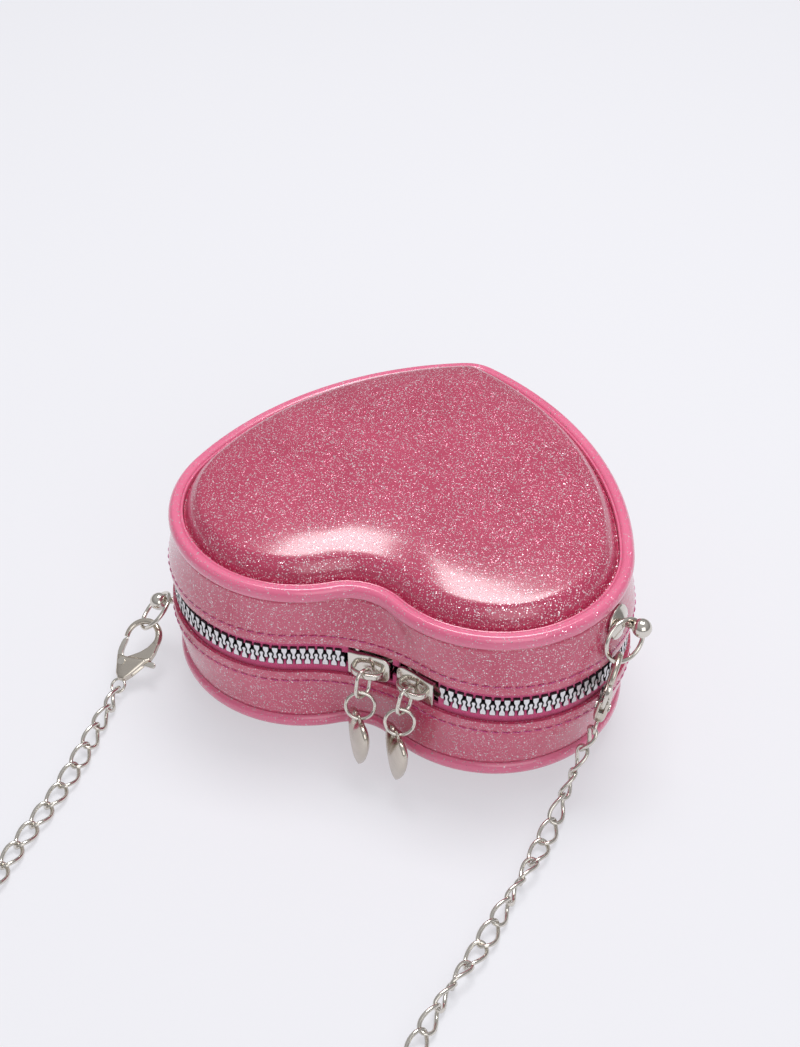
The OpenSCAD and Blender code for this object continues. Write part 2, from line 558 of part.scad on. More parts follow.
module clasp_rivet_left() color([0.6, 0.6, 0.6]) at_clasp(0) clasp_rivet();
module clasp_rivet_right() color([0.6, 0.6, 0.6]) at_clasp(1) clasp_rivet();
module clasp_spring_left() color([0.5, 0.5, 0.5]) at_clasp(0) clasp_spring();
module clasp_spring_right() color([0.5, 0.5, 0.5]) at_clasp(1) clasp_spring();

// Strap chain: the run from each clasp's eye and the coil that holds the spare length between them
tube_sides = 10;
coil_sides = 6;
coil_rings = 24;
coil_gap = 0.6;
chain_z = chain_d / 2;
coil_mid = [5, -207];
coil_step = chain_d + coil_gap;
coil_turns = 3.5;
coil_half = 180 * coil_turns;
coil_in = coil_r - coil_step * coil_turns / 2;
climb = 90;
right_route = [[65.8, -28, 17.5], [64.4, -31.2, 12], [63.2, -35, 7.2], [62.7, -39.5, 4.2], [62.2, -44.5, 3],
    [61, -54, 3], [58.5, -70, 3], [54.7, -91, 3], [50.3, -109, 3], [47.4, -126, 3], [45.6, -145, 3],
    [45, -165, 3], [45, -184, 3]];
left_route = [[-79.7, -43, 3.2], [-79.6, -52, 3], [-79, -64, 3], [-79.8, -80, 3], [-81.4, -96, 3],
    [-82.4, -112, 3], [-81, -128, 3], [-76, -143, 3], [-68, -157, 3], [-58, -169, 3.2], [-48.5, -178.5, 4.4],
    [-41, -184.5, 7], [-36.5, -189.5, 9], [-35, -195.5, 9.6]];
function coil_point(a) = let (r = coil_in + coil_step * abs(a - coil_half) / 360,
    rise = min(1, max(0, (a - coil_half + climb) / (2 * climb))))
    [coil_mid.x + r * cos(a), coil_mid.y - r * sin(a), chain_z + rise * coil_step];
coil_points = concat([coil_point(0) + [0, chain_d, 0]],
    [for (k = [0:coil_rings * coil_turns]) coil_point(k * 360 / coil_rings)],
    [coil_point(2 * coil_half) + [0, chain_d, 0]]);
function from_eye(i, next) = eye_mid(i) + (clasp_eye_od / 2 + fit) * unit(next - eye_mid(i));
right_points = concat([from_eye(1, right_route[0])], right_route, [coil_points[0]]);
left_points = concat([from_eye(0, left_route[0])], left_route, [coil_points[len(coil_points) - 1]]);
function way(pts, i) = unit(pts[min(i + 1, len(pts) - 1)] - pts[max(i - 1, 0)]);
function tube_row(p, t, r, n) = let (side = square_to(cross(t, [0, 0, 1]), t), up = cross(side, t))
    [for (k = [0:n - 1]) p + r * (cos(360 * k / n + 180 / n) * side + sin(360 * k / n + 180 / n) * up)];
module tube(pts, d, n) {
    m = len(pts);
    rows = [for (i = [0:m - 1]) each tube_row(pts[i], way(pts, i), d / 2, n)];
    ends = concat([for (i = [1:n - 2]) [0, i, i + 1]],
        [for (i = [1:n - 2]) [(m - 1) * n, (m - 1) * n + i + 1, (m - 1) * n + i]]);
    sides_faces = [for (f = ring_faces(n, m)) [f[0], f[1], f[2]]];
    polyhedron(points = rows, faces = concat(sides_faces, ends));
}
module chain_run_left() color([0.8, 0.78, 0.74]) tube(left_points, chain_d, tube_sides);
module chain_run_right() color([0.8, 0.78, 0.74]) tube(right_points, chain_d, tube_sides);
module chain_coil() color([0.8, 0.78, 0.74]) tube(coil_points, chain_d, coil_sides);

// Least gap between one turn of the coil and the next, and the length of the whole chain
gaps = [for (i = [0:len(coil_points) - 1], j = [i + coil_rings / 2:1:len(coil_points) - 1])
    norm(coil_points[i] - coil_points[j]) - chain_d];
function run_len(pts) = let (steps = [for (i = [1:len(pts) - 1]) norm(pts[i] - pts[i - 1])])
    steps * [for (s = steps) 1];
echo(coil_least_gap = min(gaps), chain_length = run_len(left_points) + run_len(coil_points) + run_len(right_points));

front_panel();
front_rim();
upper_wall();
upper_stitching();
upper_tape();
upper_teeth();
back_panel();
back_rim();
lower_wall();
lower_stitching();
lower_tape();
lower_teeth();
hinge_strip();
zip_end_stops();
slider_left();
slider_right();
pull_link_left();
pull_link_right();
pull_ring_left();
pull_ring_right();
charm_left();
charm_right();
stud_cone_left();
stud_cone_right();
stud_post_left();
stud_post_right();
stud_nut_left();
stud_nut_right();
o_ring_left();
o_ring_right();
clasp_body_left();
clasp_body_right();
clasp_lever_left();
clasp_lever_right();
clasp_rivet_left();
clasp_rivet_right();
clasp_spring_left();
clasp_spring_right();
chain_run_left();
chain_coil();
chain_run_right();
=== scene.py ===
# %% [markdown]
# # A heart shaped purse in glitter vinyl
# The purse is two soft vinyl shells that a zip joins round the side, with two charm pulls at the
# cleft and a chain strap that clips to a ring on each side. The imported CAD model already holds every
# piece at its true size, so this lesson only dresses it: finer surfaces go over the plain solids, and
# each finish is built from nodes.

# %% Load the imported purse
import bmesh
import bpy
import math
import numpy as np
from mathutils import Matrix, Vector


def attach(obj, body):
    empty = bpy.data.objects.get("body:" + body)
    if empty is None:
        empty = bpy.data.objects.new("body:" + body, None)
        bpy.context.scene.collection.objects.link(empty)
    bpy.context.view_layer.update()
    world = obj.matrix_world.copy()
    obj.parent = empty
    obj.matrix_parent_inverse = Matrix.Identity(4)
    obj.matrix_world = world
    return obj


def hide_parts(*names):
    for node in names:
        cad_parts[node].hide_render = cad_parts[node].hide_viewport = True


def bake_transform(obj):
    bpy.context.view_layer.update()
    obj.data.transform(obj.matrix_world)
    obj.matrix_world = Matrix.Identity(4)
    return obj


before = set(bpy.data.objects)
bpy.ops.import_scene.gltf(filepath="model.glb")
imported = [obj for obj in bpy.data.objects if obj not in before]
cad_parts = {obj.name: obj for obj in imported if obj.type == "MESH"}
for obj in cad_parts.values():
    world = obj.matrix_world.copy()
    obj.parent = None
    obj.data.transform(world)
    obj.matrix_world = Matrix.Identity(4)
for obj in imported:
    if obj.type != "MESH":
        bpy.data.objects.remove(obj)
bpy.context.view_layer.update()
MM = 0.001

# %% [markdown]
# ## The camera
# The photograph looks down at about forty degrees with a long lens, so the far rim hardly shrinks.
# The place was found by fitting the heart's rim, the zip and the strap rings, and it is written here
# as an eye, a direction and a lens. Three square vectors make the camera's matrix.

# %% Camera
eye = Vector((126.75, -380.26, 415.31)) * MM
look = Vector((-0.23696, 0.71368, -0.65918)).normalized()
right = look.cross(Vector((0, 0, 1))).normalized()
above = right.cross(look)
camera_data = bpy.data.cameras.new("camera")
camera_data.lens, camera_data.sensor_width, camera_data.sensor_fit = 81.7, 36, "HORIZONTAL"
camera = bpy.data.objects.new("camera", camera_data)
camera.matrix_world = Matrix.Translation(eye) @ Matrix((right, above, -look)).transposed().to_4x4()
bpy.context.scene.collection.objects.link(camera)
bpy.context.scene.camera = camera
print("lens", round(camera_data.lens, 1), "mm")

# %% [markdown]
# ## Small tools for meshes
# Almost every piece here is a skin over rows of points: a wire is a row of circles along a line, a
# turned stud is a row of circles up an axis, and the vinyl parts are rows of hearts. One function
# joins rows into faces, and one places the result. Millimetres keep the numbers readable.

# %% Mesh helpers
def skin(rows, loop=False):
    """Faces between closed rows of points, joined last to first in a loop or else capped at both ends."""
    n, m = len(rows[0]), len(rows)
    faces = []
    for k in range(m if loop else m - 1):
        a, b = k * n, (k + 1) % m * n
        for i in range(n):
            j = (i + 1) % n
            faces.append((a + i, a + j, b + j, b + i))
    if not loop:
        faces += [tuple(range(n))[::-1], tuple(range((m - 1) * n, m * n))]
    return [tuple(p) for row in rows for p in row], faces


def assign(made, body, stands_for):
    """Says which body a piece rides on and which CAD nodes it stands for."""
    if body:
        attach(made, body)
    if stands_for:
        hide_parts(*stands_for)


def piece(name, points, faces, place=None, body=None, stands_for=(), slot=None, finish=None):
    """A smooth mesh object in metres that rides on a body and stands for some CAD nodes."""
    at = np.array(points, float)
    if place is not None:
        at = at @ np.array(place)[:3, :3].T + np.array(place)[:3, 3]
    mesh = bpy.data.meshes.new(name)
    mesh.from_pydata([tuple(p) for p in at * MM], [], faces)
    mesh.validate()
    mesh.polygons.foreach_set("use_smooth", [True] * len(mesh.polygons))
    mesh.update()
    print(name, "has", len(mesh.polygons), "faces")
    made = bpy.data.objects.new(name, mesh)
    bpy.context.scene.collection.objects.link(made)
    if finish:
        mesh.materials.append(finish)
    assign(made, body, stands_for)
    return made


def face_out(made):
    """Turns all faces outwards."""
    work = bmesh.new()
    work.from_mesh(made.data)
    bmesh.ops.recalc_face_normals(work, faces=work.faces)
    work.to_mesh(made.data)
    work.free()
    return made


box_rows = [[(x, y, z) for x, y in ((0, 0), (1, 0), (1, 1), (0, 1))] for z in (0, 1)]
print("faces of a box:", len(skin(box_rows)[1]))

# %% [markdown]
# ## The heart and the zip line
# A heart here is four smooth arcs a side: a hollow curve in the cleft, a round lobe, a long flank and
# a small tip. Arcs with fixed centres have a useful gift: the same heart drawn further in is just the
# same arcs with other radii, so rim, wall, zip and dome all stay parallel. The zip's tape can't follow
# a tight cleft, so it holds the purse wider there, and the walls lean from one heart to the other.

# %% Heart outline
lobe_r, side_r, tip_r, tip_y = 40, 105, 13.5, 70
lobe_x, cleft_r = 30, 15
zip_lobe_x, zip_cleft_r = 32.6, 50
dome_rise, rim_h, rim_w, wall_h, zip_gap, hem_h = 8.5, 4.8, 4.5, 17.4, 11.8, 4.2
wall_inset, wall_t, tape_t, fit = 1.2, 1.5, 0.8, 0.1
mid_z = dome_rise + rim_h + wall_h + zip_gap / 2
total_h = 2 * mid_z
line_d = wall_inset + wall_t + fit + tape_t / 2


def heart_arcs(x, cleft):
    """Each arc of one half: centre, radius at the edge, sign of its bend, first and last angle."""
    cleft_y = -math.sqrt((lobe_r + cleft) ** 2 - x ** 2)
    cleft_end = math.atan2(-cleft_y, x)
    gap = math.hypot(x, tip_y)
    near, far = side_r - lobe_r, side_r - tip_r
    foot = (near ** 2 - far ** 2 + gap ** 2) / (2 * gap)
    off = math.sqrt(near ** 2 - foot ** 2)
    way = np.array([-x, tip_y]) / gap
    side_c = np.array([x, 0]) + foot * way + off * np.array([-way[1], way[0]])
    lobe_end = math.atan2(-side_c[1], x - side_c[0])
    side_end = math.atan2(tip_y - side_c[1], -side_c[0])
    return [((0, cleft_y), cleft, -1, math.pi / 2, cleft_end),
            ((x, 0), lobe_r, 1, cleft_end - math.pi, lobe_end),
            (side_c, side_r, 1, lobe_end, side_end),
            ((0, tip_y), tip_r, 1, side_end, math.pi / 2)]


rim_arcs, zip_arcs = heart_arcs(lobe_x, cleft_r), heart_arcs(zip_lobe_x, zip_cleft_r)
lengths = [(r - bend * line_d) * abs(b - a) for c, r, bend, a, b in zip_arcs]
half_len = sum(lengths)


def on_arc(s):
    """Which arc, and what share along it, lies at a length s along the zip line from the cleft."""
    s = min(abs(s), half_len)
    for k, length in enumerate(lengths):
        if s <= length + 1e-9:
            return k, s / length
        s -= length
    return 3, 1.0


def arc_spot(arcs, k, share, d):
    """Point and outward direction on arc k, drawn in by d from the edge."""
    c, r, bend, a, b = arcs[k]
    angle = a + (b - a) * share
    ray = np.array([math.cos(angle), math.sin(angle)])
    return np.array(c) + (r - bend * d) * ray, bend * ray


def posed(at, x, y):
    """A placing matrix from a point and two square directions."""
    m = np.eye(4)
    m[:3, 0], m[:3, 1], m[:3, 2], m[:3, 3] = x, y, np.cross(x, y), at
    return m


def at_line(s):
    """A placing matrix at length s on the zip, right of the cleft where s is positive: y is outward."""
    p, v = arc_spot(zip_arcs, *on_arc(s), line_d)
    if s < 0:
        p, v = p * (-1, 1), v * (-1, 1)
    return posed((p[0], p[1], mid_z), (v[1], -v[0], 0), (v[0], v[1], 0))


half_steps, crown = 131, np.array([0, tip_y * 0.3])
half_spots = [on_arc(s) for s in np.linspace(0, half_len, half_steps)]


def heart(d, z, grow=1, lean=0):
    """One row of the heart, drawn in by d, at height z, shrunk about the crown; lean is 1 at the zip."""
    half = np.array([(1 - lean) * arc_spot(rim_arcs, *spot, d)[0] + lean * arc_spot(zip_arcs, *spot, d)[0]
                     for spot in half_spots])
    loop = np.concatenate([half, half[-2:0:-1] * (-1, 1)])
    loop = crown + grow * (loop - crown)
    return np.column_stack([loop, np.full(len(loop), z)])


print("zip line each side of the cleft:", round(half_len, 1), "mm")

# %% [markdown]
# ## Shader maths as plain arithmetic
# A finish is a small graph of nodes. Wrapping a socket in a class with +, -, * and < lets the graph be
# written as a sum, and each operator adds its Math node. All else, from a noise to a ramp, comes from
# one method that takes the node's type, its settings and its inputs.

# %% Finish builder
class Signal:
    """One output of a node; arithmetic on it adds Math nodes."""
    def __init__(self, finish, socket):
        self.finish, self.socket = finish, socket

    def out(self, name):
        return Signal(self.finish, self.socket.node.outputs[name])

    def maths(self, operation, *values):
        return self.finish.add("ShaderNodeMath", {"operation": operation}, dict(enumerate(values)))

    def __add__(self, other): return self.maths("ADD", self, other)
    __radd__ = __add__
    def __sub__(self, other): return self.maths("SUBTRACT", self, other)
    def __rsub__(self, other): return self.maths("SUBTRACT", other, self)
    def __mul__(self, other): return self.maths("MULTIPLY", self, other)
    __rmul__ = __mul__
    def __lt__(self, other): return self.maths("LESS_THAN", self, other)
    def sine(self): return self.maths("SINE", self)


class Graph:
    """A tree of nodes, to which patterns are added as Signals."""
    def __init__(self, owner):
        owner.use_nodes = True
        self.tree = owner.node_tree

    def join(self, value, socket):
        if isinstance(value, Signal):
            self.tree.links.new(value.socket, socket)
        else:
            socket.default_value = value

    def add(self, kind, settings, inputs, output=0):
        node = self.tree.nodes.new(kind)
        for key, value in settings.items():
            if key == "stops":
                for element, (at, shade) in zip(node.color_ramp.elements, value):
                    element.position, element.color = at, shade
            else:
                setattr(node, key, value)
        for key, value in inputs.items():
            self.join(value, node.inputs[key])
        return Signal(self, node.outputs[output])

    def ramp(self, value, *stops):
        return self.add("ShaderNodeValToRGB", {"stops": stops}, {0: value})

    def split(self, value, output=0):
        return self.add("ShaderNodeSeparateXYZ", {}, {0: value}, output)


class Finish(Graph):
    """A material whose constants sit on the shader and whose patterns are Signals."""
    def __init__(self, name, **constants):
        print("finish:", name)
        self.material = bpy.data.materials.new(name)
        super().__init__(self.material)
        self.surface = self.tree.nodes["Principled BSDF"]
        for key, value in constants.items():
            self.surface.inputs[key.replace("_", " ")].default_value = value

    def where(self):
        return self.add("ShaderNodeTexCoord", {}, {}, "Object")

    def vectors(self, operation, *values, **named):
        named.update(enumerate(values))
        return self.add("ShaderNodeVectorMath", {"operation": operation}, named)

    def noise(self, per_mm, detail=2):
        return self.add("ShaderNodeTexNoise", {},
                        {"Vector": self.where(), "Scale": per_mm / MM, "Detail": detail})

    def blend(self, share, a, b):
        return self.add("ShaderNodeMix", {"data_type": "RGBA"}, {0: share, 6: a, 7: b}, 2)

    def bump(self, height, strength, distance=0.0002):
        return self.add("ShaderNodeBump", {}, {"Height": height, "Strength": strength, "Distance": distance})

    def use(self, **signals):
        for key, value in signals.items():
            self.join(value, self.surface.inputs[key.replace("_", " ")])
        return self.material


def colour(red, green, blue):
    """A colour as it looks on screen, given in 0 to 255, turned into the linear light Blender works in."""
    def linear(c):
        c /= 255
        return c / 12.92 if c <= 0.04045 else ((c + 0.055) / 1.055) ** 2.4
    return (linear(red), linear(green), linear(blue), 1)


print("mid grey in linear light:", round(colour(128, 128, 128)[0], 3))

# %% [markdown]
# ## The glitter vinyl
# Glitter vinyl is tinted plastic with metal flakes cast in it, each at its own small angle. Painted
# white dots would look like dust. A Voronoi pattern gives each flake a cell with random numbers, and
# these tip the surface normal inside the flake only, so that it flashes when the lamp's reflection
# reaches it. The same random number also sets each flake's colour between its own pale pink and near
# white, and the near white ones are painted glints. A smooth clear coat over it all is the skin.

# %% Vinyl finishes
flake_reach, fine_size, bold_size = 0.33, 0.46, 0.8


def glitter(finish, size, share, tilt):
    """Flakes of about that size in mm: a mask, a random number for each flake and its tipped normal."""
    cells = finish.add("ShaderNodeTexVoronoi", {}, {"Vector": finish.where(), "Scale": 1 / (size * MM)},
                       "Distance")
    chance = finish.split(cells.out("Color"))
    mask = (cells < flake_reach) * (chance < share)
    centred = finish.vectors("SUBTRACT", cells.out("Color"), (0.5, 0.5, 0.5))
    return mask, chance.out("Y"), finish.vectors("SCALE", centred, Scale=mask * tilt)


def vinyl(name, deep, pale, flakes, rough=0.32):
    """Tinted vinyl: deep and pale set its colour, flakes is the share of cells that hold one."""
    finish = Finish(name, Coat_Roughness=0.19, IOR=1.5, Coat_IOR=1.6, Specular_IOR_Level=0.3)
    fine, luck, fine_tip = glitter(finish, fine_size, flakes, 1.1)
    bold, _, bold_tip = glitter(finish, bold_size, flakes * 0.4, 1.0)
    tips = finish.vectors("ADD", fine_tip, bold_tip)
    face = finish.add("ShaderNodeNewGeometry", {}, {}, "Normal")
    normal = finish.vectors("NORMALIZE", finish.vectors("ADD", face, tips))
    flake = fine.maths("MAXIMUM", fine, bold)
    cloud = finish.ramp(finish.noise(0.05), (0.3, deep), (0.7, pale))
    # Each flake's colour runs at random from its own pale pink to near white; the near white flakes are
    # painted glints.
    flake_tint_and_glint = finish.blend(luck, colour(218, 128, 156), colour(255, 246, 250))
    return finish.use(Base_Color=finish.blend(flake, cloud, flake_tint_and_glint), Metallic=flake * 0.4,
                      Roughness=rough - flake * 0.06, Normal=normal, Coat_Weight=1 - flake * 0.3)


dome_vinyl = vinyl("dome vinyl", colour(170, 42, 80), colour(182, 54, 91), 0.74)
rim_vinyl = vinyl("rim vinyl", colour(220, 98, 136), colour(227, 110, 146), 0.26, rough=0.28)
# The walls get a lighter pink than the domes: painted light for the glow through the thin vinyl and up from
# the floor.
wall_vinyl = vinyl("wall vinyl with painted light", colour(192, 62, 98), colour(202, 76, 110), 0.62, rough=0.3)

# %% [markdown]
# ## Nickel
# The hardware is polished nickel: a warm grey metal that shows the room more than itself. Years of
# handling leave faint hazy patches, so its colour and its roughness drift a little.

# %% Metal finishes
def nickel(name, tint, low, high, bump=0.03):
    """Nickel of that tint; its roughness runs from low to high, and bump sets how grainy it is."""
    finish = Finish(name, Metallic=1.0, IOR=2.0)
    haze = finish.noise(0.35, 3)
    grain = finish.noise(2.5)
    shade = finish.blend(haze, tint, tuple(c * 0.86 for c in tint[:3]) + (1,))
    return finish.use(Base_Color=shade, Roughness=haze * (high - low) + low,
                      Normal=finish.bump(grain, bump, 0.00005))


bright_nickel = nickel("bright nickel", colour(226, 221, 212), 0.08, 0.2)
chain_nickel = nickel("chain nickel", colour(222, 217, 208), 0.1, 0.24)
cast_nickel = nickel("cast nickel", colour(214, 206, 194), 0.14, 0.32, 0.12)
spring_steel = nickel("spring steel", colour(176, 176, 176), 0.25, 0.4)

# %% [markdown]
# ## The chain strap
# The strap is a curb chain: every link is an oval that is twisted a quarter turn from end to end, so
# that neighbours meet crosswise and the whole chain can lie flat. Each link is a wire along such an
# oval, set down on the strap's route. By the right clasp the chain itself is twisted and unwinds link
# by link, which is why some links show their edge. The spare length waits in a coil out of the view.

# %% Strap rings and clasps
ball_d, neck_d, neck_len, cone_h, post_d, nut_t = 5.7, 2, 2.9, 2.3, 1.6, 1.4
cone_d, cone_top_d, stud_rise, ring_share, neck_room = 10.5, 3.2, 17.4, 0.56, 0.25
o_ring_r, o_ring_wire, hook_r, hook_wire, clasp_reach = 6.6, 1.4, 5.4, 1.8, 17
hook_od, clasp_eye_od, clasp_eye_wire, chain_d = 12.6, 5.3, 0.9, 6
# In each of these the left side comes first and the right side second.
stud_angles, ring_twists, hook_slacks = (-11.5, -14.5), (29, -23), (1, 0.6)
ring_downs = ((-0.81, -0.73, -1), (-0.02, -0.42, -1))
hook_ways = ((-0.13, -0.865, -0.484), (-0.12, -0.588, -0.792))
clasp_ups = ((0.15, 0.862, 0.483), (0.135, 0.458, 0.878))
clasp_sides = ((0.983, -0.183, 0.021), (-0.112, 0.888, -0.446))


def unit(v):
    v = np.array(v, float)
    return v / np.linalg.norm(v)


def square_to(v, axis):
    """The unit direction nearest to v that is square to the axis."""
    v = np.array(v, float)
    return unit(v - (v @ axis) * axis)


class StrapSide:
    """Where the stud, the strap ring and the clasp lie on one side; i is 0 on the left and 1 on the right."""
    def __init__(self, i):
        angle, twist = math.radians(stud_angles[i]), math.radians(ring_twists[i])
        sign = (-1, 1)[i]
        sideways = np.array([sign * math.cos(angle), math.sin(angle), 0])
        slope = (zip_lobe_x - lobe_x) / (wall_h - hem_h)
        share = (stud_rise - zip_gap / 2 - hem_h) / (wall_h - hem_h)
        self.out = unit(sideways + (0, 0, sign * math.cos(angle) * slope))
        self.above = square_to((0, 0, 1), self.out)
        centre = (sign * (zip_lobe_x - share * (zip_lobe_x - lobe_x)), 0, mid_z + sign * stud_rise)
        self.foot = centre + (lobe_r - wall_inset) * sideways
        self.down = unit(ring_downs[i])
        ring_top = (self.foot + (cone_h + fit + neck_len * ring_share) * self.out
                    + ((neck_d + o_ring_wire) / 2 + neck_room) * self.above)
        across = square_to(self.out, self.down)
        self.ring_axis = math.cos(twist) * across - math.sin(twist) * np.cross(self.down, across)
        self.ring = ring_top + o_ring_r * self.down
        reach = o_ring_r + hook_r - (o_ring_wire + hook_wire) / 2 - hook_slacks[i]
        self.hook = self.ring + reach * unit(hook_ways[i])
        self.up = unit(clasp_ups[i])
        self.side = square_to(clasp_sides[i], self.up)
        self.eye = self.hook - clasp_reach * self.up


left, right_side = StrapSide(0), StrapSide(1)
print("strap rings at", left.ring.round(1), "and", right_side.ring.round(1))

# %% Route and coil
right_route = [[65.8, -28, 17.5], [64.4, -31.2, 12], [63.2, -35, 7.2], [62.7, -39.5, 4.2], [62.2, -44.5, 3],
               [61, -54, 3], [58.5, -70, 3], [54.7, -91, 3], [50.3, -109, 3], [47.4, -126, 3],
               [45.6, -145, 3], [45, -165, 3], [45, -184, 3]]
left_route = [[-79.7, -43, 3.2], [-79.6, -52, 3], [-79, -64, 3], [-79.8, -80, 3], [-81.4, -96, 3],
              [-82.4, -112, 3], [-81, -128, 3], [-76, -143, 3], [-68, -157, 3], [-58, -169, 3.2],
              [-48.5, -178.5, 4.4], [-41, -184.5, 7], [-36.5, -189.5, 9], [-35, -195.5, 9.6]]
coil_step, coil_turns = chain_d + 0.6, 3.5
coil_x, coil_y, coil_r, half_way = 5, -207, 40, 180 * coil_turns


def smooth_line(points, parts=4, closed=False):
    """A Catmull-Rom curve through the points."""
    p = np.array(points, float)
    n = len(p)
    at = (lambda i: p[i % n]) if closed else (lambda i: p[min(max(i, 0), n - 1)])
    out = []
    for i in range(n if closed else n - 1):
        a, b, c, d = at(i - 1), at(i), at(i + 1), at(i + 2)
        for t in np.arange(parts) / parts:
            out.append(0.5 * (2 * b + (c - a) * t + (2 * a - 5 * b + 4 * c - d) * t ** 2
                              + (3 * b - a - 3 * c + d) * t ** 3))
    if not closed:
        out.append(p[-1])
    return np.array(out)


def coil_point(a):
    """A point of the coil, which winds in and out again a layer higher."""
    r = coil_r - coil_step * coil_turns / 2 + coil_step * abs(a - half_way) / 360
    rise = min(1, max(0, (a - half_way + 90) / 180))
    angle = math.radians(a)
    return [coil_x + r * math.cos(angle), coil_y - r * math.sin(angle), chain_d / 2 + rise * coil_step]


def from_eye(side, onward):
    """Where the chain starts at a clasp's eye, on the way to its next point."""
    return side.eye + (clasp_eye_od / 2 + fit) * unit(np.array(onward) - side.eye)


def beside(p):
    """The point before the coil's first point or after its last, one chain's width away."""
    return [p[0], p[1] + chain_d, p[2]]


turns = [coil_point(a) for a in range(0, int(360 * coil_turns) + 1, 15)]
strap_line = smooth_line([from_eye(right_side, right_route[0]), *right_route, beside(turns[0]), *turns,
                          beside(turns[-1]), *left_route[::-1], from_eye(left, left_route[0])], 8)
steps = np.linalg.norm(np.diff(strap_line, axis=0), axis=1)
run = np.concatenate([[0], np.cumsum(steps)])
strap_len = run[-1]
print("strap:", round(strap_len, 1), "mm")

# %% One link
link_wire, link_pitch, link_lead = 1.25, 8.0, 3.0


def around(n):
    """Angles spread evenly round a circle."""
    return np.arange(n) * 2 * math.pi / n


def headings(line, closed=False):
    """The unit direction of travel at each point of a line."""
    ahead = np.roll(line, -1, 0) - np.roll(line, 1, 0) if closed else np.gradient(line, axis=0)
    return ahead / np.linalg.norm(ahead, axis=1)[:, None]


def wire(line, radius, sides=10, closed=True):
    """A round wire along a line of points, of one radius or one for each point."""
    line = np.array(line, float)
    spread = np.linalg.svd(line - line.mean(0))[2][2]
    rows = []
    for p, t, r in zip(line, headings(line, closed), np.broadcast_to(radius, len(line))):
        side = square_to(spread, t)
        other = np.cross(t, side)
        rows.append([p + r * (math.cos(a) * side + math.sin(a) * other) for a in around(sides)])
    return skin(rows, closed)


def oval_link():
    """The centre line of one link: an oval whose ends are turned an eighth of a turn either way."""
    half_l, half_w = (link_pitch + link_wire) / 2, (chain_d - link_wire) / 2 + 0.15
    line = []
    for a in around(32):
        x = half_l * math.copysign(abs(math.cos(a)) ** 0.9, math.cos(a))
        y = half_w * math.copysign(abs(math.sin(a)) ** 0.9, math.sin(a))
        turn = math.radians(45) * x / half_l
        line.append((x, y * math.cos(turn), y * math.sin(turn)))
    return line


link_points, link_faces = wire(oval_link(), link_wire / 2, 8)
link_points = np.array(link_points)
print("faces of one link:", len(link_faces))

# %% Chain
links = round((strap_len - 2 * link_lead) / link_pitch) + 1
link_gap = (strap_len - 2 * link_lead) / (links - 1)
first_roll, roll_step, roll_links, full_roll, end_links, end_step = 8, 36.7, 20, 720, 5, 18
lying_z, coil_from_y, coil_drop, floor_room = 3.4, -150, 1.1, 0.02


def strap_at(s):
    """The point at length s along the strap, held at its ends."""
    return np.array([np.interp(s, run, strap_line[:, k]) for k in range(3)])


def roll(k):
    """How far link k is twisted, in degrees: two turns by the right clasp, a little by the left."""
    if k < roll_links:
        return first_roll + roll_step * k
    return full_roll + max(0, end_links - (links - 1 - k)) * end_step


def gather(parts):
    """Joins several (points, faces) pairs into one."""
    points, faces = [], []
    for some_points, some_faces in parts:
        shift = len(points)
        points += some_points
        faces += [tuple(i + shift for i in f) for f in some_faces]
    return points, faces


def turned(axis, degrees):
    m = np.eye(4)
    m[:3, :3] = np.array(Matrix.Rotation(math.radians(degrees), 3, axis))
    return m


def set_links(which):
    """The links with those numbers, laid along the strap; where it lies flat they rest on the floor."""
    parts = []
    for k in which:
        s = link_lead + k * link_gap
        at_end = k in (0, links - 1)
        half = link_lead if at_end else link_gap / 2
        a, b = strap_at(s - half), strap_at(s + half)
        ahead, middle = unit(b - a), (a + b) / 2
        across = square_to(np.cross((0, 0, 1), ahead), ahead)
        place = posed(middle, ahead, across) @ turned("X", roll(k))
        at = link_points @ place[:3, :3].T + place[:3, 3]
        if middle[2] < lying_z:
            at[:, 2] -= at[:, 2].min() - floor_room
        elif not at_end and middle[1] < coil_from_y:
            at[:, 2] -= coil_drop
        parts.append(([tuple(p) for p in at], link_faces))
    return gather(parts)


def chain_piece(name, first, last, stands_for=()):
    return piece(name, *set_links(range(first, last)), stands_for=stands_for, slot="strap_chain",
                 finish=chain_nickel)


lead = 3
chain = chain_piece("strap_chain", lead, links - lead, ("chain_run_left", "chain_coil", "chain_run_right"))
chain_lead_right = chain_piece("strap_links_right", 0, lead)
chain_lead_left = chain_piece("strap_links_left", links - lead, links)
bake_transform(chain)
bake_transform(chain_lead_right)
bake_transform(chain_lead_left)
print("links:", links, "at", round(link_gap, 2), "mm")

# %% [markdown]
# ## Domes
# Each panel is one moulded heart: a flat flange under the rim, a narrow groove, a steep soft shoulder
# and a broad crown. Its section is a smooth curve through a few points, swept round the heart. The
# lower dome is flattened where the purse rests.

# %% Panels
panel_d, shoulder_d = rim_w + fit, 9.6
outer = [[0, -0.42], [0, -0.24], [0.13, -0.2], [0.29, 0.06], [0.45, 0.25], [0.7, 0.42], [1, 0.56]]
outer_crown = [[0.92, 0.69], [0.82, 0.81], [0.7, 0.895], [0.52, 0.955], [0.3, 0.99], [0.12, 1.0], [0.0, 1.0]]
inner = [[0.34, -0.42], [0.62, 0.0], [0.86, 0.22], [1.12, 0.36]]
inner_crown = [[0.84, 0.58], [0.62, 0.72], [0.36, 0.79], [0.0, 0.81]]
crown_reach, least, flattened = 50, 0.004, 0.5


def closed_piece(name, shape, node, **more):
    """A piece from a closed (points, faces) pair that stands for one CAD node, its faces outwards."""
    return face_out(piece(name, *shape, stands_for=(node,), **more))


def panel_line(edge, crown):
    """The section as distance inwards and height, with the crown's shrinking hearts laid out in line."""
    spots = [(panel_d + s * (shoulder_d - panel_d), z * dome_rise) for s, z in edge]
    spots += [(shoulder_d + (1 - k) * crown_reach, z * dome_rise) for k, z in crown]
    return smooth_line(spots, 4)


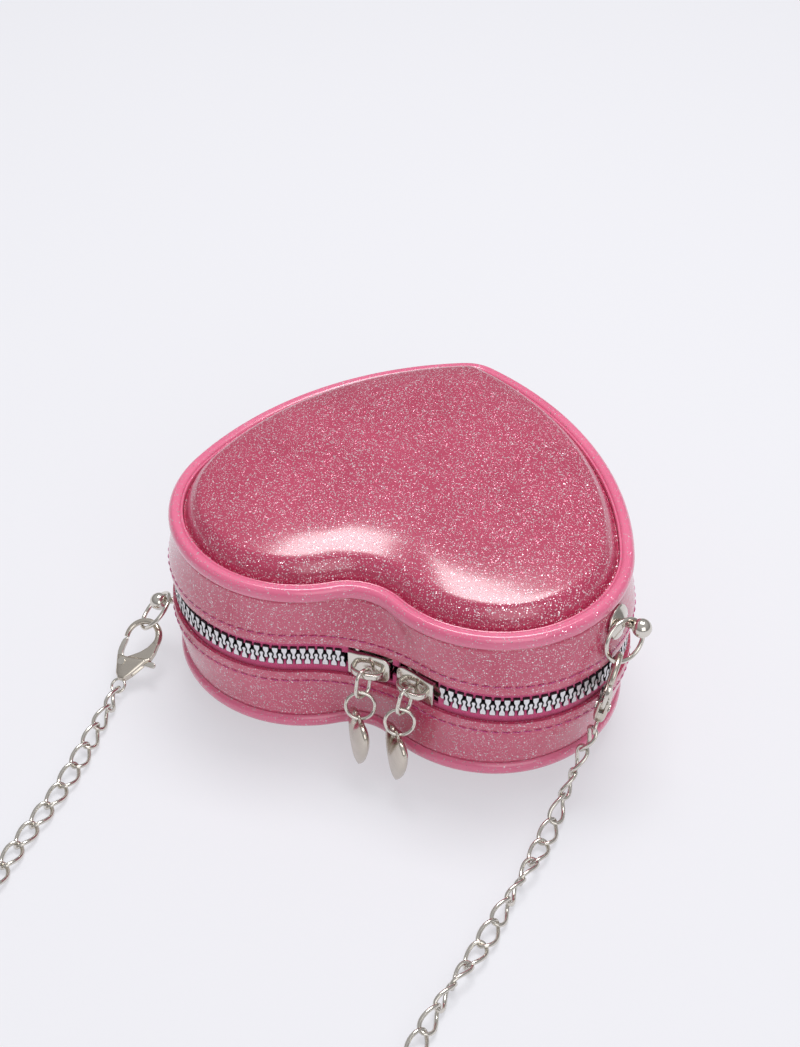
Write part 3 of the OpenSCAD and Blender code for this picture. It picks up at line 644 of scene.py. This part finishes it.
def panel_rows(line, put):
    """Hearts along the section; past the shoulder they shrink about the crown, almost to a point."""
    return [heart(min(u, shoulder_d), put(z), max(1 - max(0, u - shoulder_d) / crown_reach, least))
            for u, z in line]


def panel(name, put, body, node):
    """A dome with its lining; put turns a height in the section into a height in the purse."""
    shell = panel_rows(panel_line(outer, outer_crown), put)
    lining = panel_rows(panel_line(inner, inner_crown), put)
    return closed_piece(name, skin(shell[::-1] + lining), node, body=body, slot="glitter_vinyl",
                        finish=dome_vinyl)


panel("front_dome", lambda z: total_h - dome_rise + z, "lid", "front_panel")
panel("back_dome", lambda z: max(0, dome_rise - flattened - z), "base", "back_panel")

# %% [markdown]
# ## Rims
# A rounded bead of clearer vinyl welds each panel to its wall. It is one closed section swept round
# the heart. A small step along its inner edge catches the thin bright line that the real rim shows.

# %% Rims
rim_line = smooth_line([[0.3, 0], [0.06, 0.2], [0, 0.5], [0.08, 0.8], [0.32, 1], [0.6, 1.0], [0.78, 0.93],
                        [0.86, 0.84], [0.97, 0.84], [1, 0.6], [1, 0.2], [0.97, 0], [0.66, 0]], 4, True)


def rim(name, put, body, node):
    rows = [heart(min(max(d, 0), 1) * rim_w, put(min(max(h, 0), 1) * rim_h)) for d, h in rim_line]
    return closed_piece(name, skin(rows, True), node, body=body, slot="clear_vinyl", finish=rim_vinyl)


rim("front_bead", lambda z: total_h - dome_rise - rim_h + z, "lid", "front_rim")
rim("back_bead", lambda z: dome_rise + rim_h - z, "base", "back_rim")

# %% [markdown]
# ## Side walls
# The walls are soft strips of the same vinyl, given a lighter pink than the domes; that lighter pink is
# painted light, for the light that comes through the thin vinyl and up from the floor. Their zip edge is
# folded over and sewn, which makes a smooth rounded hem, and the sewing pulls a faint dent along the
# stitch line. Beyond the upright hem each wall leans in from the zip's broader heart to the rim's.

# %% Walls
wall_line = [(0.1, 0), (0, 0.25), (-0.12, 1.4), (-0.08, 2.6), (0.1, 3.4), (-0.06, 4.3), (-0.1, 7), (0, 13),
             (0, wall_h), (wall_t, wall_h), (wall_t, 9), (wall_t, 4.2), (wall_t, 1), (1.3, 0.15),
             (0.7, -0.05)]


def wall(name, put, body, node):
    rows = []
    for d, h in smooth_line(wall_line, 3, True):
        h = min(max(h, 0), wall_h)
        rows.append(heart(wall_inset + d, put(h), lean=min(1, (wall_h - h) / (wall_h - hem_h))))
    return closed_piece(name, skin(rows, True), node, body=body, slot="wall_vinyl", finish=wall_vinyl)


wall("upper_side", lambda h: mid_z + zip_gap / 2 + h, "lid", "upper_wall")
wall("lower_side", lambda h: mid_z - zip_gap / 2 - h, "base", "lower_wall")

# %% [markdown]
# ## Stitches
# Each stitch is a short length of twisted thread that dives into the vinyl at both ends, so it is a
# plump spindle with a slight slant. The thread gets its ply from a fine diagonal wave.

# %% Thread
thread = Finish("magenta thread", Sheen_Weight=0.3, Sheen_Roughness=0.5)
ply = thread.add("ShaderNodeTexWave", {"bands_direction": "DIAGONAL"},
                 {"Vector": thread.where(), "Scale": 0.6 / MM, "Distortion": 1.5})
thread_magenta = thread.use(Base_Color=thread.blend(ply, colour(178, 34, 112), colour(224, 66, 156)),
                            Roughness=0.55 - ply * 0.1, Normal=thread.bump(ply, 0.6, 0.0001))
stitch_pitch, stitch_half, stitch_row, stitch_slant, stitch_rise = 3, 1.2, 3.4, 7, 0.16
stitch_shape = [(-1.2, 0.05), (-1.0, 0.12), (-0.5, 0.16), (0, 0.17), (0.5, 0.16), (1.0, 0.12), (1.2, 0.05)]


def moved(x, y, z):
    m = np.eye(4)
    m[:3, 3] = x, y, z
    return m


def stitches(name, height, body, node):
    """A row of stitches at a height over the zip's middle; the rows above and below slant opposite ways."""
    parts = []
    count = int((half_len - 3.5) / stitch_pitch)
    slant = turned("Y", math.copysign(stitch_slant, height))
    for i in range(-count, count + 1):
        place = at_line(i * stitch_pitch) @ moved(0, line_d - wall_inset + 0.12, height) @ slant
        rows = []
        for x, r in stitch_shape:
            y = stitch_rise * (1 - (x / stitch_half) ** 2) - 0.1
            rows.append([(place @ (x, y + r * math.cos(a), r * math.sin(a), 1))[:3] for a in around(6)])
        parts.append(skin(rows))
    return closed_piece(name, gather(parts), node, body=body, slot="thread", finish=thread_magenta)


stitches("upper_stitches", zip_gap / 2 + stitch_row, "lid", "upper_stitching")
stitches("lower_stitches", -zip_gap / 2 - stitch_row, "base", "lower_stitching")

# %% [markdown]
# ## The zip
# A moulded zip is a woven tape with plastic teeth cast over its edge. Seen from outside, a tooth is a
# pawn: a broad foot, a narrow neck and a round head that locks between its neighbours. Its face is
# stamped with bright foil, and its sides stay black, so each tooth needs two finishes.

# %% Zip finishes
def refinish(finish, *nodes):
    """Gives a finish to CAD solids that stay in the picture as they are."""
    for node in nodes:
        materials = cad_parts[node].data.materials
        materials.clear()
        materials.append(finish)


tape = Finish("woven tape", Sheen_Weight=0.4)
spot = tape.split(tape.where())
warp = (spot.out("Z") * (2 * math.pi / (0.55 * MM))).sine()
weft = ((spot + spot.out("Y")) * (2 * math.pi / (0.7 * MM))).sine()
ribs = warp * weft
# The tape's magenta is raised to lift the shade that falls in the zip's narrow gap, so part of its colour is
# painted light.
magenta_tape_with_painted_light = tape.use(Base_Color=tape.blend(ribs * 0.5 + 0.5, colour(212, 50, 116), colour(248, 88, 156)),
                        Roughness=0.75 - ribs * 0.08, Normal=tape.bump(ribs, 0.7, 0.00015))
foil = Finish("tooth foil", Coat_Weight=0.3)
scuff = foil.noise(1.3, 3)
tooth_foil = foil.use(Base_Color=foil.blend(scuff, colour(250, 250, 252), colour(214, 214, 220)),
                      Metallic=0.35 + scuff * 0.2, Roughness=0.3 + scuff * 0.15,
                      Normal=foil.bump(scuff, 0.25, 0.00008))
black = Finish("black plastic", Coat_Weight=0.2)
speck = black.noise(2.0)
tooth_black = black.use(Base_Color=black.blend(speck, colour(16, 16, 19), colour(34, 33, 38)),
                        Roughness=0.4 + speck * 0.15)
refinish(magenta_tape_with_painted_light, "upper_tape", "lower_tape")

# %% Teeth
tooth_pitch, tooth_t, foot_half = 2.65, 2.4, 0.95
nose_gap, slider_len, slider_room, meet_s = 3, 13, 1.75, 10
tip_room, stop_len = 22, 3
zip_end = half_len - tip_room
last_tooth = zip_end - stop_len - foot_half
bare = nose_gap / 2 + slider_len + slider_room
half_tooth = [(0, -1.3), (0.4, -1.24), (0.62, -0.95), (0.66, -0.6), (0.55, -0.2), (0.42, 0.1), (0.4, 0.7),
              (0.5, 1.15), (0.8, 1.6), (0.97, 2.2), (1.0, 3.1), (0.9, 3.4), (0, 3.4)]
tooth_edge = np.array(half_tooth[:-1] + [(-x, z) for x, z in half_tooth[-2:0:-1]])
tooth_core = np.array([0, 1.0])
foil_edge = tooth_core + (tooth_edge - tooth_core) * (0.8, 0.88)
tooth_layers = ((-tooth_t / 2, foil_edge), (-tooth_t / 2 + 0.25, tooth_edge), (tooth_t / 2 - 0.3, tooth_edge),
                (tooth_t / 2 - 0.06, foil_edge + (tooth_edge - foil_edge) * 0.55), (tooth_t / 2, foil_edge))


def teeth(name, shift, flip, body, node):
    """One row of teeth, left out under the sliders; the last face of each tooth is its foil."""
    parts, shiny = [], []
    reach = math.ceil(zip_end / tooth_pitch)
    for i in range(-reach, reach + 1):
        s = (i + shift) * tooth_pitch
        if abs(s) >= last_tooth or abs(s - meet_s) <= bare:
            continue
        place = at_line(s)
        rows = [[(place @ (x, y, z * flip, 1))[:3] for x, z in edge] for y, edge in tooth_layers]
        parts.append(skin(rows))
        shiny.append(sum(len(faces) for _, faces in parts) - 1)
    made = piece(name, *gather(parts), body=body, stands_for=(node,), slot="zip_teeth", finish=tooth_black)
    made.data.materials.append(tooth_foil)
    for f in shiny:
        made.data.polygons[f].material_index = 1
    made.data.polygons.foreach_set("use_smooth", [False] * len(made.data.polygons))
    return face_out(made)


teeth("upper_zip_teeth", 0, 1, "lid", "upper_teeth")
teeth("lower_zip_teeth", 0.5, -1, "base", "lower_teeth")
refinish(tooth_foil, "zip_end_stops")

# %% [markdown]
# ## The hinge strip
# Behind the tip, where the zip stops, a strip of vinyl joins the two shells and bends when the purse
# opens. It is a curtain of rows from the lower wall to the upper one.

# %% Hinge strip
low, high, lap, half_t, hinge_y = mid_z - zip_gap / 2, mid_z + zip_gap / 2, 4, 0.35, 0.0795
cuts = [on_arc(s) for s in np.linspace(zip_end + 5, half_len, 24)]
rows = []
for z in np.linspace(low - lap, high + lap, 18):
    loop = []
    for d, order in ((line_d - half_t, 1), (line_d + half_t, -1)):
        row = [arc_spot(zip_arcs, *cut, d)[0] for cut in cuts]
        row += [p * (-1, 1) for p in row[-2::-1]]
        loop += [(p[0], p[1], z) for p in row[::order]]
    rows.append(loop)
hinge = closed_piece("tip_hinge", skin(rows), "hinge_strip", slot="clear_vinyl", finish=wall_vinyl)
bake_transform(hinge)

# %% [markdown]
# ## Sliders
# A slider is two plates held apart by a wedge at its nose, with a strap over the front that carries
# the pull. Each plate is one outline with a thickness, and a bevel softens its edges, because a
# die-cast edge is never sharp and the bevel is what catches light.

# %% Sliders
plate_t, channel, tail_w, slider_w, bridge_rise = 1, 3.2, 8.2, 9.2, 3.4
nose_r, wedge_half, flange_half, flange_in = 2.6, 1.3, 0.3, 0.85


def change(made, kind, **settings):
    """Adds a modifier and applies it to the mesh."""
    modifier = made.modifiers.new(kind.lower(), kind)
    for key, value in settings.items():
        setattr(modifier, key, value)
    bpy.context.view_layer.update()
    done = bpy.data.meshes.new_from_object(made.evaluated_get(bpy.context.evaluated_depsgraph_get()))
    made.modifiers.clear()
    old, made.data = made.data, done
    bpy.data.meshes.remove(old)
    made.data.polygons.foreach_set("use_smooth", [True] * len(made.data.polygons))
    return made


def softened(made, width, angle):
    """Rounds the edges that bend by more than that angle in degrees."""
    return change(face_out(made), "BEVEL", width=width * MM, segments=3, limit_method="ANGLE",
                  angle_limit=math.radians(angle))


def slab(outline, low, high):
    """An outline in x and z given a thickness along y."""
    return skin([[(x, y, z) for x, z in outline] for y in (low, high)])


def rounded_plate():
    """A slider's plate: a straight tail that broadens to a nose with round corners."""
    half, nose = slider_len / 2, slider_w / 2
    lower = [(-half, -tail_w / 2), (-half / 2, -tail_w / 2), (0, -nose)]
    lower += [(half - nose_r + nose_r * math.sin(a), -nose + nose_r - nose_r * math.cos(a))
              for a in np.linspace(0, math.pi / 2, 6)]
    return lower + [(x, -z) for x, z in lower[::-1]]


def slider(word, s, nose):
    """A slider at length s; nose is the way along the zip in which its nose points."""
    half, gap, plate = slider_len / 2, channel / 2, rounded_plate()
    wedge = [(half - 4, 0), (half - 1.6, wedge_half), (half - 0.1, wedge_half), (half - 0.1, -wedge_half),
             (half - 1.6, -wedge_half)]
    parts = [slab(plate, gap, gap + plate_t), slab(plate, -gap - plate_t, -gap),
             slab(wedge, -gap - 0.3, gap + 0.3)]
    for z in (-tail_w / 2 + flange_half, tail_w / 2 - flange_half):
        low, high = z - flange_half, z + flange_half
        flange = [(-half, low), (0, low), (0, high), (-half, high)]
        parts += [slab(flange, flange_in, gap + 0.5), slab(flange, -gap - 0.5, -flange_in)]
    place = at_line(s) @ np.diag([nose, 1, 1, 1])
    name, body = word + "_slider", "slider_" + word
    made = softened(piece(name, *gather(parts), place=place, finish=bright_nickel), 0.28, 50)
    line = smooth_line([(-4.35, 0.9), (-4.4, 2.3), (-3.6, 3.7), (-1.9, 4.4), (0, 4.62), (1.9, 4.4),
                        (3.6, 3.7), (4.4, 2.3), (4.35, 0.9)], 4)
    section = smooth_line([(-0.5, 0.8), (0.5, 0.8), (0.62, 0), (0.5, -0.8), (-0.5, -0.8), (-0.62, 0)],
                          3, True)
    rows = [[(x - ty * u, y + gap + tx * u, w) for u, w in section * (1.0, 1.12)]
            for (x, y), (tx, ty) in zip(line, headings(line))]
    face_out(piece(name + "_strap", *skin(rows), place=place, finish=bright_nickel, body=body,
                   slot="slider_metal"))
    assign(made, body, (body,))


slider_s = (meet_s - (nose_gap + slider_len) / 2, meet_s + (nose_gap + slider_len) / 2)
slider("left", slider_s[0], -1)
slider("right", slider_s[1], 1)

# %% [markdown]
# ## Pulls
# Each pull is a chain of three: an oval link through the slider's strap, a round ring, and a hollow
# cast heart. All are round wire except the heart, which is a pillow: its outline shrinks towards the
# middle while its thickness swells, the way two pressed shells meet at a seam.

# %% Links, rings and charms
bridge_y = channel / 2 + plate_t + bridge_rise
pull_wire, ring_wire, ring_od, link_in_w, link_in_h, link_drop = 1.2, 1.1, 9.6, 4.2, 7.5, 2.6
pull_ring_r = (ring_od - ring_wire) / 2
link_bottom = -link_drop - link_in_h / 2 - pull_wire / 2
ring_drop = link_bottom + (pull_wire + ring_wire) / 2 + 1.5 * fit - pull_ring_r
charm_w, charm_h, charm_t, charm_edge, eye_r, eye_wire = 14.5, 19.5, 5, 1, 1.55, 0.9
charm_lobe, pull_lean = charm_w * 0.27, 20
upright = turned("Z", 90) @ turned("X", 90)


def circle(r, n=40):
    return [(r * math.cos(a), r * math.sin(a), 0) for a in around(n)]


def long_oval(width, height, n=20):
    """The centre line of a link with straight sides."""
    r, leg = width / 2, (height - width) / 2
    top = [(r * math.cos(a), leg + r * math.sin(a), 0) for a in np.linspace(0, math.pi, n)]
    return top + [(-x, -y, 0) for x, y, _ in top]


def raised(shape, up):
    """A (points, faces) pair moved along y."""
    return [(x, y + up, z) for x, y, z in shape[0]], shape[1]


def charm_body():
    """A heart below its cleft at y = 0, in rows that shrink to its middle and swell, once for each face."""
    centre, middle = np.array([charm_lobe - charm_w / 2, -charm_lobe]), np.array([0, -charm_h * 0.44])
    lobe = [tuple(centre + charm_lobe * np.array([math.cos(a), math.sin(a)]))
            for a in np.radians(np.linspace(48, 196, 16))]
    shares = ((0.475, 0.36), (0.4, 0.53), (0.28, 0.72), (0.14, 0.89), (0.05, 0.98), (0, 1))
    half = [(0, -1.2)] + lobe + [(-x * charm_w, -y * charm_h) for x, y in shares]
    outline = np.array(half + [(-x, y) for x, y in half[-2:0:-1]])
    sides = []
    for face in (1, -1):
        side = []
        for k in (1, 0.985, 0.95, 0.88, 0.78, 0.64, 0.48, 0.3, 0.12):
            swell = (charm_edge / 2 * (1 if k < 1 else 0.4)
                     + (charm_t - charm_edge) / 2 * (1 - k ** 2) ** 0.8)
            side.append([(x, y, face * swell) for x, y in middle + k * (outline - middle)])
        sides.append(side)
    return skin(sides[0][::-1] + sides[1])


def own_piece(name, node, shape, place, slot="pull_metal", finish=bright_nickel):
    """A piece that rides on a body with the name of the node that it stands for."""
    return piece(name, *shape, place=place, body=node, stands_for=(node,), slot=slot, finish=finish)


def pull(word, s, link_turn, ring_turn, charm_turn):
    """The three pieces that hang on a slider, each turned by so many degrees."""
    at_pull = at_line(s) @ moved(0, bridge_y, 0) @ turned("X", pull_lean)
    oval = wire(long_oval(link_in_w + pull_wire, link_in_h + pull_wire), pull_wire / 2, 12)
    own_piece("pull_oval_" + word, "pull_link_" + word, oval,
              at_pull @ moved(0, 0, -link_drop) @ turned("Z", link_turn) @ upright)
    own_piece("pull_round_" + word, "pull_ring_" + word, wire(circle(pull_ring_r, 48), ring_wire / 2, 12),
              at_pull @ moved(0, 0, ring_drop) @ turned("Z", ring_turn) @ turned("X", 90))
    drop, lean = ring_drop - pull_ring_r, math.radians(pull_lean)
    hung = (at_line(s) @ moved(0, bridge_y - drop * math.sin(lean), drop * math.cos(lean))
            @ turned("Z", charm_turn) @ upright)
    eye_z = (ring_wire + eye_wire) / 2 + fit - eye_r
    dip = charm_lobe - math.sqrt(charm_lobe ** 2 - (charm_w / 2 - charm_lobe) ** 2)
    shape = gather([raised(charm_body(), eye_z - eye_r + dip + eye_wire / 4),
                    raised(wire(circle(eye_r, 24), eye_wire / 2), eye_z)])
    face_out(own_piece("heart_charm_" + word, "charm_" + word, shape, hung, finish=cast_nickel))


pull("left", slider_s[0], -25, 18, 39)
pull("right", slider_s[1], -7, 35, 58)

# %% [markdown]
# ## Studs and strap rings
# A stud is turned on a lathe, so its mesh is turned too: a section of radii and heights spun round the
# axis. The ring that hangs on it is plain round wire.

# %% Studs and rings
def lathe(section, n=40):
    """A section of radii and heights spun round the z axis."""
    return skin([[(r * math.cos(a), r * math.sin(a), z) for a in around(n)] for r, z in section])


ball_z = cone_h + fit + neck_len + math.sqrt(ball_d ** 2 - neck_d ** 2) / 2
cone_r, cone_top_r, post_r, ball_r = cone_d / 2, cone_top_d / 2, post_d / 2, ball_d / 2
cone_section = [(cone_r - 0.15, fit), (cone_r, 0.2), (cone_r, 0.6), (cone_r - 0.15, 0.85),
                (cone_r - 0.5, 1.02), (cone_top_r + 0.4, 2.1), (cone_top_r + 0.1, 2.32),
                (cone_top_r - 0.2, 2.38), (post_r + 0.05, 2.38)]
ball_section = [(0.3, -wall_t - nut_t - 0.3), (post_r, -wall_t - nut_t), (post_r, cone_h),
                (neck_d / 2, cone_h + 0.12), (neck_d / 2, cone_h + 1.2)]
ball_section += [(ball_r * math.cos(a), ball_z + ball_r * math.sin(a)) for a in np.linspace(-1.2, 1.56, 22)]
for word, side, stud_body in (("left", left, "base"), ("right", right_side, "lid")):
    at_stud = posed(side.foot, side.above, np.cross(side.out, side.above))
    for name, node, section in (("stud_base_", "stud_cone_", cone_section),
                                ("stud_ball_", "stud_post_", ball_section)):
        closed_piece(name + word, lathe(section), node + word, place=at_stud, body=stud_body,
                     slot="stud_metal", finish=bright_nickel)
    refinish(spring_steel, "stud_nut_" + word)
    own_piece("strap_ring_" + word, "o_ring_" + word, wire(circle(o_ring_r, 64), o_ring_wire / 2, 14),
              posed(side.ring, side.down, unit(np.cross(side.ring_axis, side.down))), "strap_metal")

# %% [markdown]
# ## Lobster clasps
# A clasp is cast: the wire of the hook swells into the body without any edge. Building it as joined
# slabs and rounding them leaves seams, so the rough shape is remeshed into small voxels and smoothed,
# which melts the parts together like wax, and then a slot is cut for the lever.

# %% Clasps
reach_r = hook_od / 2
body_shares = [[0.714, 0], [1, 0], [1.06, -0.21], [1, -0.35], [0.83, -0.45], [0.6, -0.62], [0.4, -0.76],
               [0.17, -0.88], [-0.11, -0.9], [-0.37, -0.81], [-0.6, -0.62], [-0.78, -0.47], [-0.48, -0.45],
               [-0.24, -0.45], [0.29, -0.28], [0.56, -0.15]]
slot_shares = [[-1.2, -0.1], [-0.45, -0.1], [-0.25, -0.36], [0.3, -0.355], [1.4, -0.34], [1.4, -0.74],
               [-0.08, -0.74], [-0.55, -0.68], [-1.2, -0.53]]
lever_shares = [[-0.9, -0.17], [-0.68, -0.125], [-0.62, -0.36], [-0.4, -0.47], [0.1, -0.47], [0.56, -0.42],
                [1.1, -0.375], [1.34, -0.39], [1.3, -0.47], [0.72, -0.5], [0.1, -0.61], [-0.3, -0.66],
                [-0.57, -0.6], [-0.86, -0.42]]
lever_t, slot_t, melt_size, melt_rounds = 1.2, 1.5, 0.17, 16


def clasp_points(shares):
    """An outline given in shares of the hook's radius and of the clasp's reach, in mm."""
    return np.array(shares) * (reach_r, clasp_reach)


def flat_slab(outline, thick):
    """An outline in x and y given a thickness along z, half to each side."""
    return skin([[(x, y, z) for x, y in outline] for z in (-thick / 2, thick / 2)])


def cast_body(name, place):
    """The melted body with its hook and slot, and its wire eye."""
    edge = clasp_points(body_shares)
    middle = np.array([-0.05 * reach_r, -0.6 * clasp_reach])
    lower = np.array([p for p in edge if p[1] < -0.28 * clasp_reach])
    parts = [flat_slab(edge, 2.0)]
    for k, thick in ((1.0, 2.2), (0.95, 2.7), (0.88, 3.1), (0.78, 3.4), (0.64, 3.7), (0.46, 3.9)):
        parts.append(flat_slab(middle + k * (lower - middle), thick))
    arc = [(hook_r * math.cos(a), hook_r * math.sin(a), 0) for a in np.radians(np.linspace(-6, 200, 40))]
    parts.append(wire(arc, np.linspace(1.25, 0.85, 40), 12, False))
    made = face_out(piece(name, *gather(parts), finish=cast_nickel))
    change(made, "REMESH", mode="VOXEL", voxel_size=melt_size * MM)
    change(made, "SMOOTH", factor=0.5, iterations=melt_rounds)
    cutter = face_out(piece(name + "_cutter", *flat_slab(clasp_points(slot_shares), slot_t)))
    change(made, "BOOLEAN", object=cutter, operation="DIFFERENCE")
    bpy.data.objects.remove(cutter)
    loop = wire(circle((clasp_eye_od - clasp_eye_wire) / 2, 28), clasp_eye_wire / 2)
    loop = piece(name + "_eye", *raised(loop, -clasp_reach), place=place, finish=bright_nickel,
                 slot="strap_metal")
    scaled = np.array(place, float)
    scaled[:3, 3] *= MM
    made.data.transform(Matrix(scaled))
    return made, loop


for word, side in (("left", left), ("right", right_side)):
    place, body = posed(side.hook, side.side, side.up), "clasp_" + word
    cast, loop = cast_body("clasp_cast_" + word, place)
    assign(cast, body, ("clasp_body_" + word,))
    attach(loop, body)
    lever = flat_slab(smooth_line(clasp_points(lever_shares), 3, True), lever_t)
    lever = softened(piece("clasp_gate_" + word, *lever, place=place, finish=bright_nickel), 0.2, 40)
    assign(lever, "clasp_lever_" + word, ("clasp_lever_" + word,))
    refinish(bright_nickel, "clasp_rivet_" + word)
    refinish(spring_steel, "clasp_spring_" + word)
    print("clasp", word, len(cast.data.vertices), "points")

# %% [markdown]
# ## Floor and light
# The studio is a pale sweep under one large soft lamp, with a gentle fill from the front. The lamp's
# broad reflection makes the glints on the lobes. The room is greyer towards the horizon, which gives
# the nickel its deep accents. Part of the floor's colour is plain light that only the camera and
# mirrors see, which keeps the sheet even while the shadows stay.

# %% Floor
floor_reach, plain_share = 3000, 0.6
corners = [(x * floor_reach, y * floor_reach, 0) for x, y in ((-1, -1), (1, -1), (1, 1), (-1, 1))]
floor = piece("studio_floor", corners, [(0, 1, 2, 3)])
paper = Finish("studio paper", Specular_IOR_Level=0.1)
tone = paper.noise(0.002)
paper.use(Base_Color=paper.blend(tone, colour(237, 237, 242), colour(235, 235, 240)), Roughness=0.9)
seen = (paper.add("ShaderNodeLightPath", {}, {}, "Is Camera Ray")
        + paper.add("ShaderNodeLightPath", {}, {}, "Is Glossy Ray"))
plain = paper.add("ShaderNodeEmission", {}, {"Color": colour(236, 236, 241), "Strength": 1})
lit = Signal(paper, paper.surface.outputs[0])
even = paper.add("ShaderNodeMixShader", {}, {0: seen * plain_share, 1: lit, 2: plain})
paper.join(even, paper.tree.nodes["Material Output"].inputs["Surface"])
floor.data.materials.append(paper.material)
floor.location.z = -0.0001

# %% Light
world = bpy.data.worlds.new("studio")
bpy.context.scene.world = world
sky = Graph(world)
up = sky.split(sky.add("ShaderNodeTexCoord", {}, {}, "Generated"), "Z")
fade = sky.ramp(up, (0.1, (0.42, 0.41, 0.41, 1)), (0.75, (0.8, 0.8, 0.82, 1)))
room = sky.tree.nodes["Background"].inputs
room["Strength"].default_value = 0.63
sky.join(fade, room["Color"])
bpy.context.scene.view_settings.view_transform = "Standard"


def softbox(name, at, aim, size, power):
    """A rectangular lamp at one point that faces another, in metres and watts."""
    data = bpy.data.lights.new(name, "AREA")
    data.shape, data.size, data.size_y, data.energy = "RECTANGLE", size[0], size[1], power
    lamp = bpy.data.objects.new(name, data)
    lamp.location = at
    lamp.rotation_euler = (Vector(aim) - Vector(at)).to_track_quat("-Z", "Y").to_euler()
    bpy.context.scene.collection.objects.link(lamp)
    print(name, power, "W")


softbox("overhead_softbox", (0.0, 0.26, 1.1), (0, 0.02, 0), (0.66, 0.44), 8.4)
softbox("front_fill", (0.75, -1.1, 0.8), (0, 0, 0.03), (1.1, 1.0), 5)
